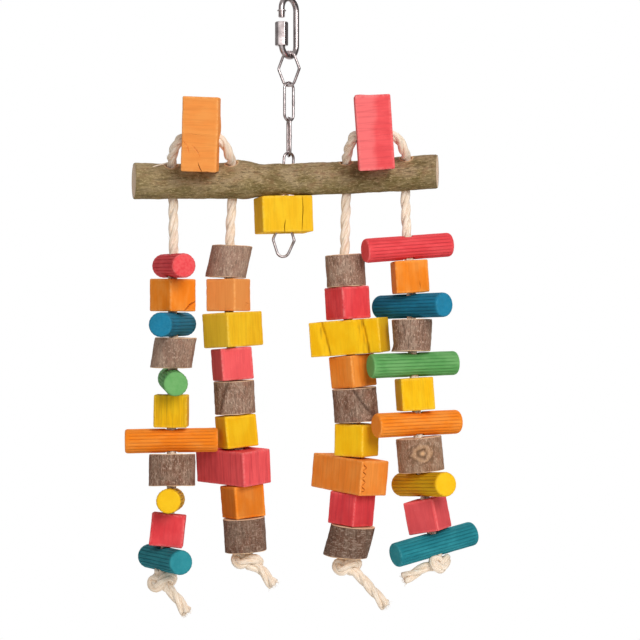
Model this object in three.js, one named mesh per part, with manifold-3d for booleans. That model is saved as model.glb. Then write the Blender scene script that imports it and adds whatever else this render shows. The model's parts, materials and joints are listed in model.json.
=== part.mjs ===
// Bird play curtain. A quick link and a short chain carry a natural branch, and two ropes laid
// over the branch make four strings of dyed wooden beads, each closed by a knot.
// Millimetres, +Z up, +X to the right and +Y away from the viewer. The origin is the inside top
// of the quick link's arch, where the curtain hangs.

import * as THREE from 'three';
import { mergeVertices } from 'three/addons/utils/BufferGeometryUtils.js';
import Module from 'manifold-3d';

const wasm = await Module();
wasm.setup();

// Clearances
const seatGap = 0.3; // between pieces that bear on each other
const beadGap = 0.25; // between neighbouring beads on a rope
const boreClearance = 1.2; // radial, rope in a drilled hole
const threadClearance = 0.3; // radial, nut over its thread
const chainClearance = 1.75; // radial, chain link in a drilled hole
const branchGap = 0.9; // branch over the centre block, which leans a little
const blockToBranch = 2.2; // upright block in front of the branch
const knotGap = 0.7; // knot under the last bead

// Quick link, an open oval of round wire with a screw gate
const eyeLength = 33.7; // inside, from top to bottom
const eyeWireDia = 4;
const eyeLegSpacing = 15; // between the centre lines of the legs
const eyeYaw = 52; // degrees, left leg towards the viewer
const threadDia = 4.6;
const threadLength = 4.4;
const threadEndDrop = 11.4; // from the inside top to the end of the upper thread
const collarDia = 5.8;
const collarThickness = 0.9;
const gateGap = 3; // between the upper thread and the lowered nut
const nutLength = 15.3;
const nutFlats = 7.5; // across flats
const nutBevel = 0.5;
const stubCover = 4; // length of nut above the lower stub

// Chain
const chainWireDia = 1.8;
const plainLinkLength = 25; // between the wire centres of the two bows
const plainLinkWidth = 8; // between the wire centres of the legs
const diamondLength = 22;
const diamondWidth = 13.6;
const diamondBow = 4; // radius of the wire centre in a bow
const diamondFlat = 1; // height of the upright stretch at each shoulder
const linkYaws = [-12, 45, -77, 41, -80, 5];
const freeLinks = 3; // links above the branch, the others are threaded through it
const chainLean = 3.6; // degrees, of the links in the branch, downwards to the left
const linkSteps = 26;
const wireSides = 6;

// Branch, as stations along X: distance along, rise of its axis and radius
const branchLeft = 100.6;
const branchRight = 96.4;
const branchStations = [
  [-80, -1.2, 11.6],
  [-50, -0.9, 11.6],
  [-31, -0.2, 12.1],
  [-16, -0.1, 10.4],
  [0, 0, 10.2],
  [30, 1.1, 10.6],
  [60, 2.7, 10.9],
];
const branchLeftEnd = [-0.9, 11.9]; // rise and radius at the left end
const branchRightEnd = [5.2, 11.2];
const branchBack = -2.5; // Y of the branch axis, which balances the strings under the chain
const branchRings = 24;
const branchSides = 12;
const branchRipple = 0.025; // share of the radius
const endBevel = 0.8; // on sawn ends of branch and logs
const ropeHoles = [-75.6, -37, 37.2, 75.8]; // X of the four rope holes
const ropeHoleLean = 25; // degrees, upper mouth towards the viewer

// Rope
const ropeDia = 6;
const ropeSides = 8;
const ropeStep = 13; // length of one tube step in a string
const archStep = 7; // and in an arch or tail
const hingeDrop = 0.4; // string pivot below the branch

// Beads
const cubeSide = 21.5;
const cubeHeight = 21;
const blockSide = 22.6; // section of the longer blocks
const mediumLength = 33.4;
const longLength = 47.6;
const uprightLength = 46.4; // blocks on the two arches
const uprightTilt = 5; // degrees, their tops towards the viewer
const blockEdge = 0.7; // bevel on every sawn block
const dowelDia = 15.8;
const dowelLength = 60;
const dowelFlutes = 16;
const fluteDepth = 0.55;
const dowelEdge = 1;
const centreHeight = 23.5; // yellow block under the branch
const centreYaw = 15;
const centreLean = 2;
const holeSides = 10;

// Knots
const knotSpread = 4.6; // each roll from the middle of the knot
const knotRoll = 3.4; // radius of a roll to the rope's centre
const knotTilt = 24; // degrees, of each roll
const knotCore = [6.6, 4.6, 4.4];

// Colours of dyed wood, bark, rope and steel
const paints = {
  orange: [0xee9038, 0.75],
  red: [0xdc474b, 0.75],
  yellow: [0xeeb514, 0.72],
  blue: [0x1f6a82, 0.7],
  teal: [0x2a7f8a, 0.7],
  green: [0x58a250, 0.7],
  bark: [0x7e6a5a, 0.9],
  branch: [0x7b6a48, 0.9],
  rope: [0xe4cfb4, 0.95],
  steel: [0xb9b2b0, 0.28, 1],
};

const degrees = THREE.MathUtils.degToRad;
const ropeRadius = ropeDia / 2;
const ropeBore = ropeRadius + boreClearance;
const chainBore = (plainLinkWidth + chainWireDia) / 2 + chainClearance;

const curtain = new THREE.Group();

function addPiece(name, geometry, paint, parent = curtain) {
  const [color, roughness, metalness = 0] = paints[paint];
  const material = new THREE.MeshStandardMaterial({ color, roughness, metalness });
  const piece = new THREE.Mesh(geometry, material);
  piece.name = name;
  parent.add(piece);
  return piece;
}

// Solids from geometry and back, for drilling and joining
function shared(geometry) {
  const bare = geometry.clone();
  bare.deleteAttribute('normal');
  bare.deleteAttribute('uv');
  return mergeVertices(bare, 1e-4);
}

function toSolid(geometry) {
  const closed = shared(geometry);
  return new wasm.Manifold(new wasm.Mesh({
    numProp: 3,
    vertProperties: new Float32Array(closed.attributes.position.array),
    triVerts: new Uint32Array(closed.index.array),
  }));
}

function toGeometry(solid) {
  const { vertProperties, triVerts } = solid.getMesh();
  const geometry = new THREE.BufferGeometry();
  geometry.setAttribute('position', new THREE.BufferAttribute(new Float32Array(vertProperties), 3));
  geometry.setIndex(new THREE.BufferAttribute(new Uint32Array(triVerts), 1));
  geometry.computeVertexNormals();
  return geometry;
}

function joined(geometries) {
  return toGeometry(geometries.map(toSolid).reduce((whole, next) => whole.add(next)));
}

function drilled(geometry, drills) {
  return toGeometry(drills.map(toSolid).reduce((rest, drill) => rest.subtract(drill), toSolid(geometry)));
}

// A round drill through a point, along a direction
function drill(radius, length, centre, direction) {
  const bit = new THREE.CylinderGeometry(radius, radius, length, holeSides);
  const turn = new THREE.Quaternion().setFromUnitVectors(new THREE.Vector3(0, 1, 0), direction);
  return bit.applyQuaternion(turn).translate(centre.x, centre.y, centre.z);
}

function circle(radius, sides, centreX = 0, centreY = 0) {
  const corners = [];
  for (let i = 0; i < sides; i += 1) {
    const angle = (2 * Math.PI * i) / sides;
    corners.push(new THREE.Vector2(centreX + radius * Math.cos(angle), centreY + radius * Math.sin(angle)));
  }
  return corners;
}

function tube(curve, radius, sides, step) {
  const steps = Math.max(3, Math.ceil(curve.getLength() / step));
  const section = new THREE.Shape(circle(radius, sides));
  return new THREE.ExtrudeGeometry(section, { steps, extrudePath: curve });
}

// A drawn outline standing in the XZ plane, followed at an even pace
class WireLine extends THREE.Curve {
  constructor(outline) {
    super();
    this.outline = outline;
  }

  getPoint(share) {
    const point = this.outline.getPointAt(share);
    return new THREE.Vector3(point.x, 0, point.y);
  }
}

// Quick link: wire, thread and collar in one piece, and the nut on its lower leg
const eyeRadius = eyeLegSpacing / 2;
const eyeTop = eyeWireDia / 2 - eyeRadius; // centre of the upper arc
const eyeBottom = -eyeLength - eyeWireDia / 2; // wire centre at the bottom
const nutTop = -threadEndDrop - gateGap;

function quickLinkBody() {
  const line = new THREE.Path();
  line.moveTo(-eyeRadius, -threadEndDrop);
  line.lineTo(-eyeRadius, eyeTop);
  line.absarc(0, eyeTop, eyeRadius, Math.PI, 0, true);
  line.lineTo(eyeRadius, eyeBottom + eyeRadius);
  line.absarc(0, eyeBottom + eyeRadius, eyeRadius, 0, -Math.PI, true);
  line.lineTo(-eyeRadius, nutTop - stubCover);
  const wire = tube(new WireLine(line), eyeWireDia / 2, 8, eyeWireDia * 0.7);
  const thread = new THREE.CylinderGeometry(threadDia / 2, threadDia / 2, threadLength, 14);
  thread.rotateX(Math.PI / 2).translate(-eyeRadius, 0, -threadEndDrop + threadLength / 2);
  const collar = new THREE.CylinderGeometry(collarDia / 2, collarDia / 2, collarThickness, 14);
  collar.rotateX(Math.PI / 2).translate(-eyeRadius, 0, -threadEndDrop + threadLength);
  return joined([wire, thread, collar]);
}

function quickLinkNut() {
  const corner = nutFlats / Math.sqrt(3);
  const hexagon = new THREE.Shape(circle(corner, 6));
  hexagon.holes.push(new THREE.Path(circle(threadDia / 2 + threadClearance, holeSides)));
  const nut = new THREE.ExtrudeGeometry(hexagon, {
    depth: nutLength - 2 * nutBevel,
    bevelThickness: nutBevel,
    bevelSize: nutBevel,
    bevelOffset: -nutBevel,
    bevelSegments: 1,
  });
  return nut.translate(0, 0, nutTop - nutLength + nutBevel);
}

const quickLink = new THREE.Group();
quickLink.rotation.z = degrees(eyeYaw);
curtain.add(quickLink);
addPiece('quick_link_body', quickLinkBody(), 'steel', quickLink);
const nutPiece = addPiece('quick_link_nut', quickLinkNut(), 'steel', quickLink);
nutPiece.position.x = -eyeRadius;
nutPiece.rotation.z = degrees(-eyeYaw); // a flat faces the viewer

// Chain links hang from z = 0 in their own plane
function plainLink() {
  const bow = plainLinkWidth / 2;
  const line = new THREE.Path();
  line.moveTo(bow, -bow);
  line.absarc(0, -bow, bow, 0, Math.PI, false);
  line.lineTo(-bow, bow - plainLinkLength);
  line.absarc(0, bow - plainLinkLength, bow, Math.PI, 2 * Math.PI, false);
  line.lineTo(bow, -bow);
  return line;
}

// Slope of a diamond link's sides, from the upright to the line touching bow and shoulder
const bowRise = diamondLength / 2 - diamondBow - diamondFlat / 2;
const diamondSlope = Math.atan2(diamondWidth / 2, bowRise)
  - Math.asin(diamondBow / Math.hypot(diamondWidth / 2, bowRise));

function diamondLink() {
  const half = diamondWidth / 2;
  const middle = -diamondLength / 2;
  const flat = diamondFlat / 2;
  const line = new THREE.Path();
  line.moveTo(half, middle - flat);
  line.lineTo(half, middle + flat);
  line.absarc(0, -diamondBow, diamondBow, diamondSlope, Math.PI - diamondSlope, false);
  line.lineTo(-half, middle + flat);
  line.lineTo(-half, middle - flat);
  const lower = diamondBow - diamondLength;
  line.absarc(0, lower, diamondBow, Math.PI + diamondSlope, 2 * Math.PI - diamondSlope, false);
  line.lineTo(half, middle - flat);
  return line;
}

const linkTops = [];
const lastLink = linkYaws.length - 1;
const lowerChain = new THREE.Group();
lowerChain.rotation.y = degrees(chainLean);
curtain.add(lowerChain);
let hangHeight = eyeBottom + eyeWireDia / 2 + chainWireDia / 2 + seatGap;
linkYaws.forEach((yaw, i) => {
  const isDiamond = i === 0 || i === lastLink;
  const line = new WireLine(isDiamond ? diamondLink() : plainLink());
  const ring = new THREE.TubeGeometry(line, linkSteps, chainWireDia / 2, wireSides, true);
  if (i === freeLinks) lowerChain.position.z = hangHeight - chainWireDia - seatGap;
  const link = addPiece(`chain_link_${i + 1}`, shared(ring), 'steel', i < freeLinks ? curtain : lowerChain);
  link.position.z = hangHeight - link.parent.position.z;
  link.rotation.z = degrees(yaw);
  linkTops.push(hangHeight);
  hangHeight += chainWireDia + seatGap - (isDiamond ? diamondLength : plainLinkLength);
});

// Sawn blocks: an outline with its corners taken off, a rope or chain hole and bevelled edges
function sawnBlock(length, width, height, hole, holeShift = 0) {
  const x = length / 2;
  const y = width / 2;
  const outline = new THREE.Shape([
    new THREE.Vector2(x, blockEdge - y),
    new THREE.Vector2(x, y - blockEdge),
    new THREE.Vector2(x - blockEdge, y),
    new THREE.Vector2(blockEdge - x, y),
    new THREE.Vector2(-x, y - blockEdge),
    new THREE.Vector2(-x, blockEdge - y),
    new THREE.Vector2(blockEdge - x, -y),
    new THREE.Vector2(x - blockEdge, -y),
  ]);
  outline.holes.push(new THREE.Path(circle(hole, holeSides, holeShift)));
  const block = new THREE.ExtrudeGeometry(outline, {
    depth: height - 2 * blockEdge,
    bevelThickness: blockEdge,
    bevelSize: blockEdge,
    bevelOffset: -blockEdge,
    bevelSegments: 1,
  });
  return block.translate(-holeShift, 0, blockEdge - height / 2);
}

// Centre block, seated on the shoulders of the last link at the inner edge of its hole's bevel
const shoulderHeight = linkTops[lastLink] - diamondLength / 2 + diamondFlat / 2;
const wireReach = diamondWidth / 2 + chainWireDia / 2 / Math.cos(diamondSlope);
const holeFlat = chainBore * Math.cos(Math.PI / holeSides);
const seatRise = (wireReach - holeFlat) / Math.tan(diamondSlope) - blockEdge;
const leanToChain = degrees(centreLean + chainLean);
const leanRise = chainBore * Math.sin(leanToChain);
const centreBottom = shoulderHeight + seatRise + leanRise + seatGap;
const centreGeometry = sawnBlock(mediumLength, blockSide, centreHeight, chainBore);
const centreBlock = addPiece('centre_block', centreGeometry, 'yellow', lowerChain);
centreBlock.position.set(
  (-centreHeight / 2) * Math.sin(leanToChain),
  0,
  centreBottom + (centreHeight / 2) * Math.cos(leanToChain) - lowerChain.position.z,
);
centreBlock.rotation.set(0, -leanToChain, degrees(centreYaw), 'YXZ');

// Branch
const branchHeight = centreBottom + centreHeight + branchGap;
const branchLine = [
  [-branchLeft, ...branchLeftEnd],
  ...branchStations,
  [branchRight, ...branchRightEnd],
];
const middleRadius = branchStations.find(([x]) => x === 0)[2];
const branchCurve = new THREE.CatmullRomCurve3(branchLine.map(([x, rise, radius]) => (
  new THREE.Vector3(x, rise, radius)
)));

// Axis point and radius of the branch at a place along X
function branchAt(x) {
  let low = 0;
  let high = 1;
  while (high - low > 1e-6) {
    const middle = (low + high) / 2;
    if (branchCurve.getPoint(middle).x < x) low = middle;
    else high = middle;
  }
  const { y: rise, z: radius } = branchCurve.getPoint(low);
  return { axis: new THREE.Vector3(x, branchBack, branchHeight + middleRadius + rise), radius };
}

// Rings of points, closed over both ends
function loft(rings) {
  const sides = rings[0].length;
  const points = rings.flat();
  const faces = [];
  for (let i = 0; i + 1 < rings.length; i += 1) {
    for (let j = 0; j < sides; j += 1) {
      const a = i * sides + j;
      const b = i * sides + ((j + 1) % sides);
      faces.push(a, b, a + sides, b, b + sides, a + sides);
    }
  }
  const last = points.length - sides;
  for (let j = 1; j + 1 < sides; j += 1) {
    faces.push(0, j + 1, j, last, last + j, last + j + 1);
  }
  const geometry = new THREE.BufferGeometry().setFromPoints(points);
  geometry.setIndex(faces);
  return geometry;
}

function branchRing(x, inset) {
  const { axis, radius } = branchAt(x);
  const ring = [];
  for (let j = 0; j < branchSides; j += 1) {
    const angle = (2 * Math.PI * j) / branchSides;
    const ripple = Math.sin(2 * angle + 0.021 * x) + 0.6 * Math.sin(3 * angle - 0.05 * x);
    const reach = radius * (1 + branchRipple * ripple) - inset;
    ring.push(new THREE.Vector3(x, axis.y + reach * Math.cos(angle), axis.z + reach * Math.sin(angle)));
  }
  return ring;
}

const holeUp = new THREE.Vector3(0, -Math.sin(degrees(ropeHoleLean)), Math.cos(degrees(ropeHoleLean)));
const holeReach = 4 * Math.max(...branchLine.map(([, , radius]) => radius));

function branchBar() {
  const rings = [branchRing(-branchLeft, endBevel)];
  const inner = branchLeft + branchRight - 2 * endBevel;
  for (let i = 0; i <= branchRings; i += 1) {
    rings.push(branchRing(-branchLeft + endBevel + (inner * i) / branchRings, 0));
  }
  rings.push(branchRing(branchRight, endBevel));
  const drills = ropeHoles.map((x) => drill(ropeBore, holeReach, branchAt(x).axis, holeUp));
  const down = branchAt(0).axis.z - lowerChain.position.z;
  const chainUp = new THREE.Vector3(0, 0, 1).applyEuler(lowerChain.rotation);
  const chainHole = lowerChain.position.clone().addScaledVector(chainUp, down / chainUp.z);
  drills.push(drill(chainBore, holeReach, chainHole, chainUp));
  return drilled(loft(rings), drills);
}

addPiece('branch_bar', branchBar(), 'branch');

// Where each string pivots, at the lower mouth of its hole
const pivots = ropeHoles.map((x) => {
  const { axis, radius } = branchAt(x);
  return axis.clone().addScaledVector(holeUp, -radius - hingeDrop);
});

// Rope arches over the branch, each through an upright block in front of it
const uprightBlocks = [
  { name: 'top_block_left', paint: 'orange', holes: [0, 1], x: -55.3, rise: 25, drop: 2.6, lean: -2 },
  { name: 'top_block_right', paint: 'red', holes: [2, 3], x: 54.6, rise: 23.8, drop: 1.6, lean: 4 },
];

// Hand-chosen points of an arch's leg between block and hole: outwards from the block's face,
// back towards the branch, and up from the bore
const archLeg = [
  [-6, 0, 0.1],
  [1, 0.2, -0.4],
  [3.8, 4.2, -4.2],
  [6, 10.6, -9.8],
];
const archRun = 7; // the same measure from the block's face to the hole

function archLine(bore, holes) {
  const line = [];
  [-1, 1].forEach((side, i) => {
    const { axis, radius } = branchAt(ropeHoles[holes[i]]);
    const face = blockSide / 2;
    const run = Math.abs(axis.x - bore.x) - face;
    const spread = run / archRun;
    const leg = archLeg.map(([out, back, up]) => (
      new THREE.Vector3(bore.x + side * (face + out * spread), bore.y + back, bore.z + up)
    ));
    leg.push(axis.clone().addScaledVector(holeUp, radius));
    leg.push(axis.clone());
    leg.push(pivots[holes[i]].clone().addScaledVector(holeUp, ropeRadius + seatGap));
    line.push(...(side < 0 ? leg.reverse() : leg));
  });
  return new THREE.CatmullRomCurve3(line, false, 'centripetal');
}

uprightBlocks.forEach(({ name, paint, holes, x, rise, drop, lean }) => {
  const { axis, radius } = branchAt(x);
  const bore = new THREE.Vector3(x, axis.y - radius - blockToBranch - blockSide / 2, axis.z + rise);
  const geometry = sawnBlock(uprightLength, blockSide, blockSide, ropeBore, drop);
  const block = addPiece(name, geometry.rotateY(Math.PI / 2), paint);
  block.position.copy(bore);
  block.rotation.set(degrees(uprightTilt), degrees(-lean), 0, 'YXZ');
  const side = name.split('_').pop();
  addPiece(`rope_arch_${side}`, tube(archLine(bore, holes), ropeRadius, ropeSides, archStep), 'rope');
});

// Beads. The rope's hole runs along Z through the origin, and the long side lies along X.
function dowelGeometry() {
  const outline = [];
  const sides = 2 * dowelFlutes;
  for (let i = 0; i < sides; i += 1) {
    const angle = (2 * Math.PI * i) / sides;
    const radius = dowelDia / 2 - (i % 2) * fluteDepth;
    outline.push(new THREE.Vector2(radius * Math.cos(angle), radius * Math.sin(angle)));
  }
  const rod = new THREE.ExtrudeGeometry(new THREE.Shape(outline), {
    depth: dowelLength - 2 * dowelEdge,
    bevelThickness: dowelEdge,
    bevelSize: dowelEdge,
    bevelOffset: -dowelEdge,
    bevelSegments: 1,
  });
  rod.translate(0, 0, dowelEdge - dowelLength / 2).rotateY(Math.PI / 2);
  return drilled(rod, [drill(ropeBore, 2 * dowelDia, new THREE.Vector3(), new THREE.Vector3(0, 0, 1))]);
}

function logGeometry(dia, height, phase) {
  const outline = [];
  const sides = 12;
  for (let i = 0; i < sides; i += 1) {
    const angle = (2 * Math.PI * i) / sides;
    const ripple = 0.03 * Math.sin(2 * angle + phase) + 0.018 * Math.sin(3 * angle + 2 * phase);
    const radius = (dia / 2) * (1 + ripple);
    outline.push(new THREE.Vector2(radius * Math.cos(angle), radius * Math.sin(angle)));
  }
  const shape = new THREE.Shape(outline);
  shape.holes.push(new THREE.Path(circle(ropeBore, holeSides)));
  const log = new THREE.ExtrudeGeometry(shape, {
    depth: height - 2 * endBevel,
    bevelThickness: endBevel,
    bevelSize: endBevel,
    bevelOffset: -endBevel,
    bevelSegments: 1,
  });
  return log.translate(0, 0, endBevel - height / 2);
}

// Each maker gives a bead's name, colour, solid, height along the rope, turn on it and reach from
// it towards a side. Tip lifts the end that lies along +X before the turn.
const dowel = (paint, yaw, tip = 0) => ({
  label: `${paint}_dowel`,
  paint,
  geometry: dowelGeometry(),
  height: dowelDia,
  reach: () => dowelLength / 2,
  yaw,
  tip,
});

const block = (label, paint, yaw, length, width, height, shift = 0, tip = 0) => ({
  label: `${paint}_${label}`,
  paint,
  geometry: sawnBlock(length, width, height, ropeBore, shift),
  height,
  reach: (side) => (Math.abs(side.x) * length + Math.abs(side.y) * width) / 2 + Math.abs(side.x * shift),
  yaw,
  tip,
});

const cube = (paint, yaw) => block('cube', paint, yaw, cubeSide, cubeSide, cubeHeight);
const medium = (paint, yaw, shift) => block('block', paint, yaw, mediumLength, blockSide, blockSide, shift);
const long = (paint, yaw, shift, tip) => (
  block('long_block', paint, yaw, longLength, blockSide, blockSide, shift, tip)
);

const log = (dia, height, phase) => ({
  label: 'bark_log',
  paint: 'bark',
  geometry: logGeometry(dia, height, phase),
  height,
  reach: () => dia / 2,
  yaw: 0,
  tip: 0,
});

// Strings. Route points are hand-chosen, from the pivot: right, back and up. Start is the length
// of bare rope above the first bead, and tail points are measured from the knot's middle.
const strings = [
  {
    start: 36.2,
    route: [
      [0, 0, 0], [0.6, -2.6, -18], [0.8, -4.2, -36], [0.2, -4.2, -62], [0.6, -4.2, -100], [-0.6, -4.2, -138],
      [-0.5, -4.8, -160], [0, -6.2, -178], [-0.7, -7.8, -196], [-2.6, -9.4, -215], [-5, -11.4, -238], [-7.4, -13.4, -260],
    ],
    beads: [
      dowel('red', -72, -1), cube('orange', 45), dowel('blue', 79), log(27.2, 19.6, 0.4),
      dowel('green', -81, -1), cube('yellow', 1), dowel('orange', 5), log(29.4, 20.6, 1.7),
      dowel('yellow', -88), cube('red', 3), dowel('teal', -64, 1),
    ],
    knotTurn: -14,
    tail: [[0, 0, 0], [5.2, -1, -5.5], [10.4, -2, -11.5], [16, -2.4, -19.5]],
  },
  {
    start: 31,
    route: [
      [0, 0, 0], [-1.2, 2.6, -16], [-1.8, 4.2, -32], [-2.7, 4.2, -62], [-1.6, 4.2, -90], [0.2, 4.2, -114],
      [1.8, 4.2, -142], [4.2, 4.2, -168], [6.6, 4.2, -196], [8.4, 4.2, -222], [10, 4.2, -246],
    ],
    beads: [
      log(26.6, 21, 2.6), cube('orange', 64), medium('yellow', 49, -3), cube('red', 22), log(27.5, 21.5, 3.9),
      cube('yellow', 22), long('red', -48, 7, -4), cube('orange', 30), log(28.4, 22, 5.1),
    ],
    knotTurn: 8,
    tail: [[0, 0, 0], [7.6, -1.2, -4.4], [13.4, -2, -10.6], [17.2, -2.2, -15.4]],
  },
  {
    start: 40.1,
    route: [
      [0, 0, 0], [-0.4, 2.6, -20], [-0.8, 4.2, -42], [0.6, 4.2, -66], [2.4, 4.2, -94], [5, 4.2, -122],
      [6.8, 4.2, -146], [6.8, 4.2, -166], [5.2, 4.2, -188], [3.2, 4.2, -212], [1.2, 4.2, -236], [0.2, 4.2, -258],
    ],
    beads: [
      log(25.4, 20.8, 0.9), cube('red', 34), long('yellow', -19, 0), cube('orange', 43), log(28.6, 22, 2.2),
      cube('yellow', 59), long('orange', -50, 5), cube('red', 50), log(30, 20.4, 4.4),
    ],
    knotTurn: -10,
    tail: [[0, 0, 0], [6, -1, -4.4], [14, -2, -12.6], [21, -2.4, -20.6], [25.4, -2.4, -25.4]],
  },
  {
    start: 30,
    route: [
      [0, 0, 0], [0.2, -2.6, -15], [0.8, -4.2, -30], [2.6, -4.2, -56], [4, -4.3, -80], [4.6, -5.2, -106],
      [5.7, -5.6, -132], [7.8, -6.4, -156], [10.2, -7.2, -182], [12.4, -8.2, -202], [15.4, -9.2, -218],
      [19.4, -10.2, -234], [23.8, -11.4, -252],
    ],
    beads: [
      dowel('red', 20, 1), cube('orange', 6), dowel('blue', -48, -1), log(27.2, 20.6, 5.7),
      dowel('green', 20), cube('yellow', 9), dowel('orange', 25, -3), log(30, 22, 3.3),
      dowel('yellow', -64), cube('red', 62), dowel('teal', 27, -1),
    ],
    knotTurn: 12,
    tail: [[0, 0, 0], [-7, -1.4, -1], [-14, -2.2, -4.6], [-21.5, -2.4, -9.6]],
  },
];

// Height of a knot's rolls, from their tilt and the thickness of the rope
const knotHalfHeight = knotRoll + ropeRadius;

function knotRolls(middle, turn) {
  const core = new THREE.SphereGeometry(1, 8, 6).scale(...knotCore);
  const rolls = [-1, 1].map((side) => (
    new THREE.TorusGeometry(knotRoll, ropeRadius, 6, 10)
      .rotateY(Math.PI / 2)
      .rotateY(side * degrees(knotTilt))
      .rotateZ(degrees(knotTilt))
      .translate(side * knotSpread, 0, 0)
  ));
  return [core, ...rolls].map((roll) => (
    roll.rotateY(degrees(-turn)).translate(middle.x, middle.y, middle.z)
  ));
}

function toVectors(points, start) {
  return points.map(([x, y, z]) => new THREE.Vector3(x, y, z).add(start));
}

strings.forEach(({ start, route, beads, knotTurn, tail }, i) => {
  const number = i + 1;
  const line = new THREE.CatmullRomCurve3(toVectors(route, pivots[i]), false, 'centripetal');
  line.arcLengthDivisions = 800;
  const routeLength = line.getLength();

  // Point of the rope and its upward direction, straight on past the last point
  const along = (distance) => {
    const share = Math.min(distance / routeLength, 1);
    const up = line.getTangentAt(share).negate();
    const point = line.getPointAt(share).addScaledVector(up, share * routeLength - distance);
    return { point, up };
  };

  let distance = start;
  let before = null;
  beads.forEach((bead, j) => {
    const seat = new THREE.Group();
    const place = () => {
      const { point, up } = along(distance + bead.height / 2);
      const right = new THREE.Vector3(1, 0, 0).addScaledVector(up, -up.x).normalize();
      const basis = new THREE.Matrix4().makeBasis(right, new THREE.Vector3().crossVectors(up, right), up);
      const turn = new THREE.Euler(0, degrees(-bead.tip), degrees(bead.yaw), 'ZYX');
      seat.quaternion.setFromRotationMatrix(basis).multiply(new THREE.Quaternion().setFromEuler(turn));
      seat.position.copy(point);
      return new THREE.Vector3(0, 0, 1).applyQuaternion(seat.quaternion);
    };
    let axis = place();
    if (before) {
      const side = axis.clone().sub(before.axis).normalize();
      const reaches = [before, { bead, seat }].map((held) => (
        held.bead.reach(side.clone().applyQuaternion(held.seat.quaternion.clone().invert()))
      ));
      distance += beadGap + Math.min(...reaches) * Math.sin(axis.angleTo(before.axis));
      axis = place();
    }
    distance += bead.height;
    before = { bead, seat, axis };
    const order = String(j + 1).padStart(2, '0');
    const piece = addPiece(`string_${number}_${order}_${bead.label}`, bead.geometry, bead.paint);
    piece.quaternion.copy(seat.quaternion);
    piece.position.copy(seat.position);
  });

  // Rope down through the beads, its round head in the branch, its knot and its tail
  const ropeEnd = distance + knotGap + knotHalfHeight;
  const { point: knot } = along(ropeEnd);
  const steps = Math.ceil(ropeEnd / ropeStep);
  const ropePoints = [];
  for (let k = 0; k <= steps; k += 1) ropePoints.push(along((ropeEnd * k) / steps).point);
  const ropeLine = new THREE.CatmullRomCurve3(ropePoints);
  const head = new THREE.SphereGeometry(ropeRadius, ropeSides, 4).translate(...pivots[i].toArray());
  const tailLine = new THREE.CatmullRomCurve3(toVectors(tail, knot));
  addPiece(`string_${number}_rope`, joined([
    tube(ropeLine, ropeRadius, ropeSides, ropeStep),
    head,
    ...knotRolls(knot, knotTurn),
    tube(tailLine, ropeRadius, ropeSides, archStep),
  ]), 'rope');
});

export default curtain;
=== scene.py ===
import cmath
import json
import math
import random

import bmesh
import bpy
from mathutils import Matrix, Vector, noise


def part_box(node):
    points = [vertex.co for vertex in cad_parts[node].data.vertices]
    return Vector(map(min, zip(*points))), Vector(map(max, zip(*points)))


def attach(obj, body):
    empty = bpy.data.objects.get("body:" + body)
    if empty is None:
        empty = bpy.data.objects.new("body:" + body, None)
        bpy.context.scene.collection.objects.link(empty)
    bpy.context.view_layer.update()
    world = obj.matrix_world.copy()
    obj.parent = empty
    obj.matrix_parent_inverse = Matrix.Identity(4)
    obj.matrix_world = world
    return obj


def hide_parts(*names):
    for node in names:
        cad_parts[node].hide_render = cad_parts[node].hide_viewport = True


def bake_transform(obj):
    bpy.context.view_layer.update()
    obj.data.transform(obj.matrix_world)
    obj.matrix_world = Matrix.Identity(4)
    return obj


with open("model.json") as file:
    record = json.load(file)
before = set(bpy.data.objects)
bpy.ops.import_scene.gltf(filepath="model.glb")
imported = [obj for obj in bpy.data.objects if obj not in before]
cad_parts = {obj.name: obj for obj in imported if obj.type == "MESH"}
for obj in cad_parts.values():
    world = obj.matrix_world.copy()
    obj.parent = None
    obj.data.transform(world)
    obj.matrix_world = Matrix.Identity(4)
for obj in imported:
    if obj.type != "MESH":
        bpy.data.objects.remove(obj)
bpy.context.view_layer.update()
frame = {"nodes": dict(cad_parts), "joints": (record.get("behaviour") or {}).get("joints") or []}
nodes = frame["nodes"]
jointTo = {j["child"]: j for j in frame["joints"]}
scene = bpy.context.scene
scene.view_settings.view_transform = "Standard"
mm = 0.001  # every size below is in millimetres until an object is made
noise.seed_set(5)  # vector noise would start from the clock
print("frame loaded with", len(nodes), "nodes")


def placeOf(body):
    return Vector(jointTo[body]["pos_m"]) / mm


def seedOf(name, first):
    return sum(ord(c) * (i + first) for i, c in enumerate(name))


def clamp(value):
    return max(0.0, min(1.0, value))


def bell(gap, width):
    return math.exp(-((gap / width) ** 2))


def spoke(side, over, angle):
    return side * math.cos(angle) + over * math.sin(angle)


def ridgesAt(p, waves):
    return sum(noise.noise(Vector((p.x / a, p.y / b, p.z / c))) * high for a, b, c, high in waves)


# Camera, level with the middle of the photograph
camera = {"across": 20.2, "height": -207.0, "away": 1100.0, "view": 416.0, "sensor": 36.0}


def setCamera():
    data = bpy.data.cameras.new("camera")
    data.sensor_width = camera["sensor"]
    data.lens = camera["sensor"] * camera["away"] / camera["view"]
    eye = bpy.data.objects.new("camera", data)
    eye.location = Vector((camera["across"], -camera["away"], camera["height"])) * mm
    eye.rotation_euler = (math.pi / 2, 0, 0)
    scene.collection.objects.link(eye)
    scene.camera = eye


setCamera()
print("camera set")


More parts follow.
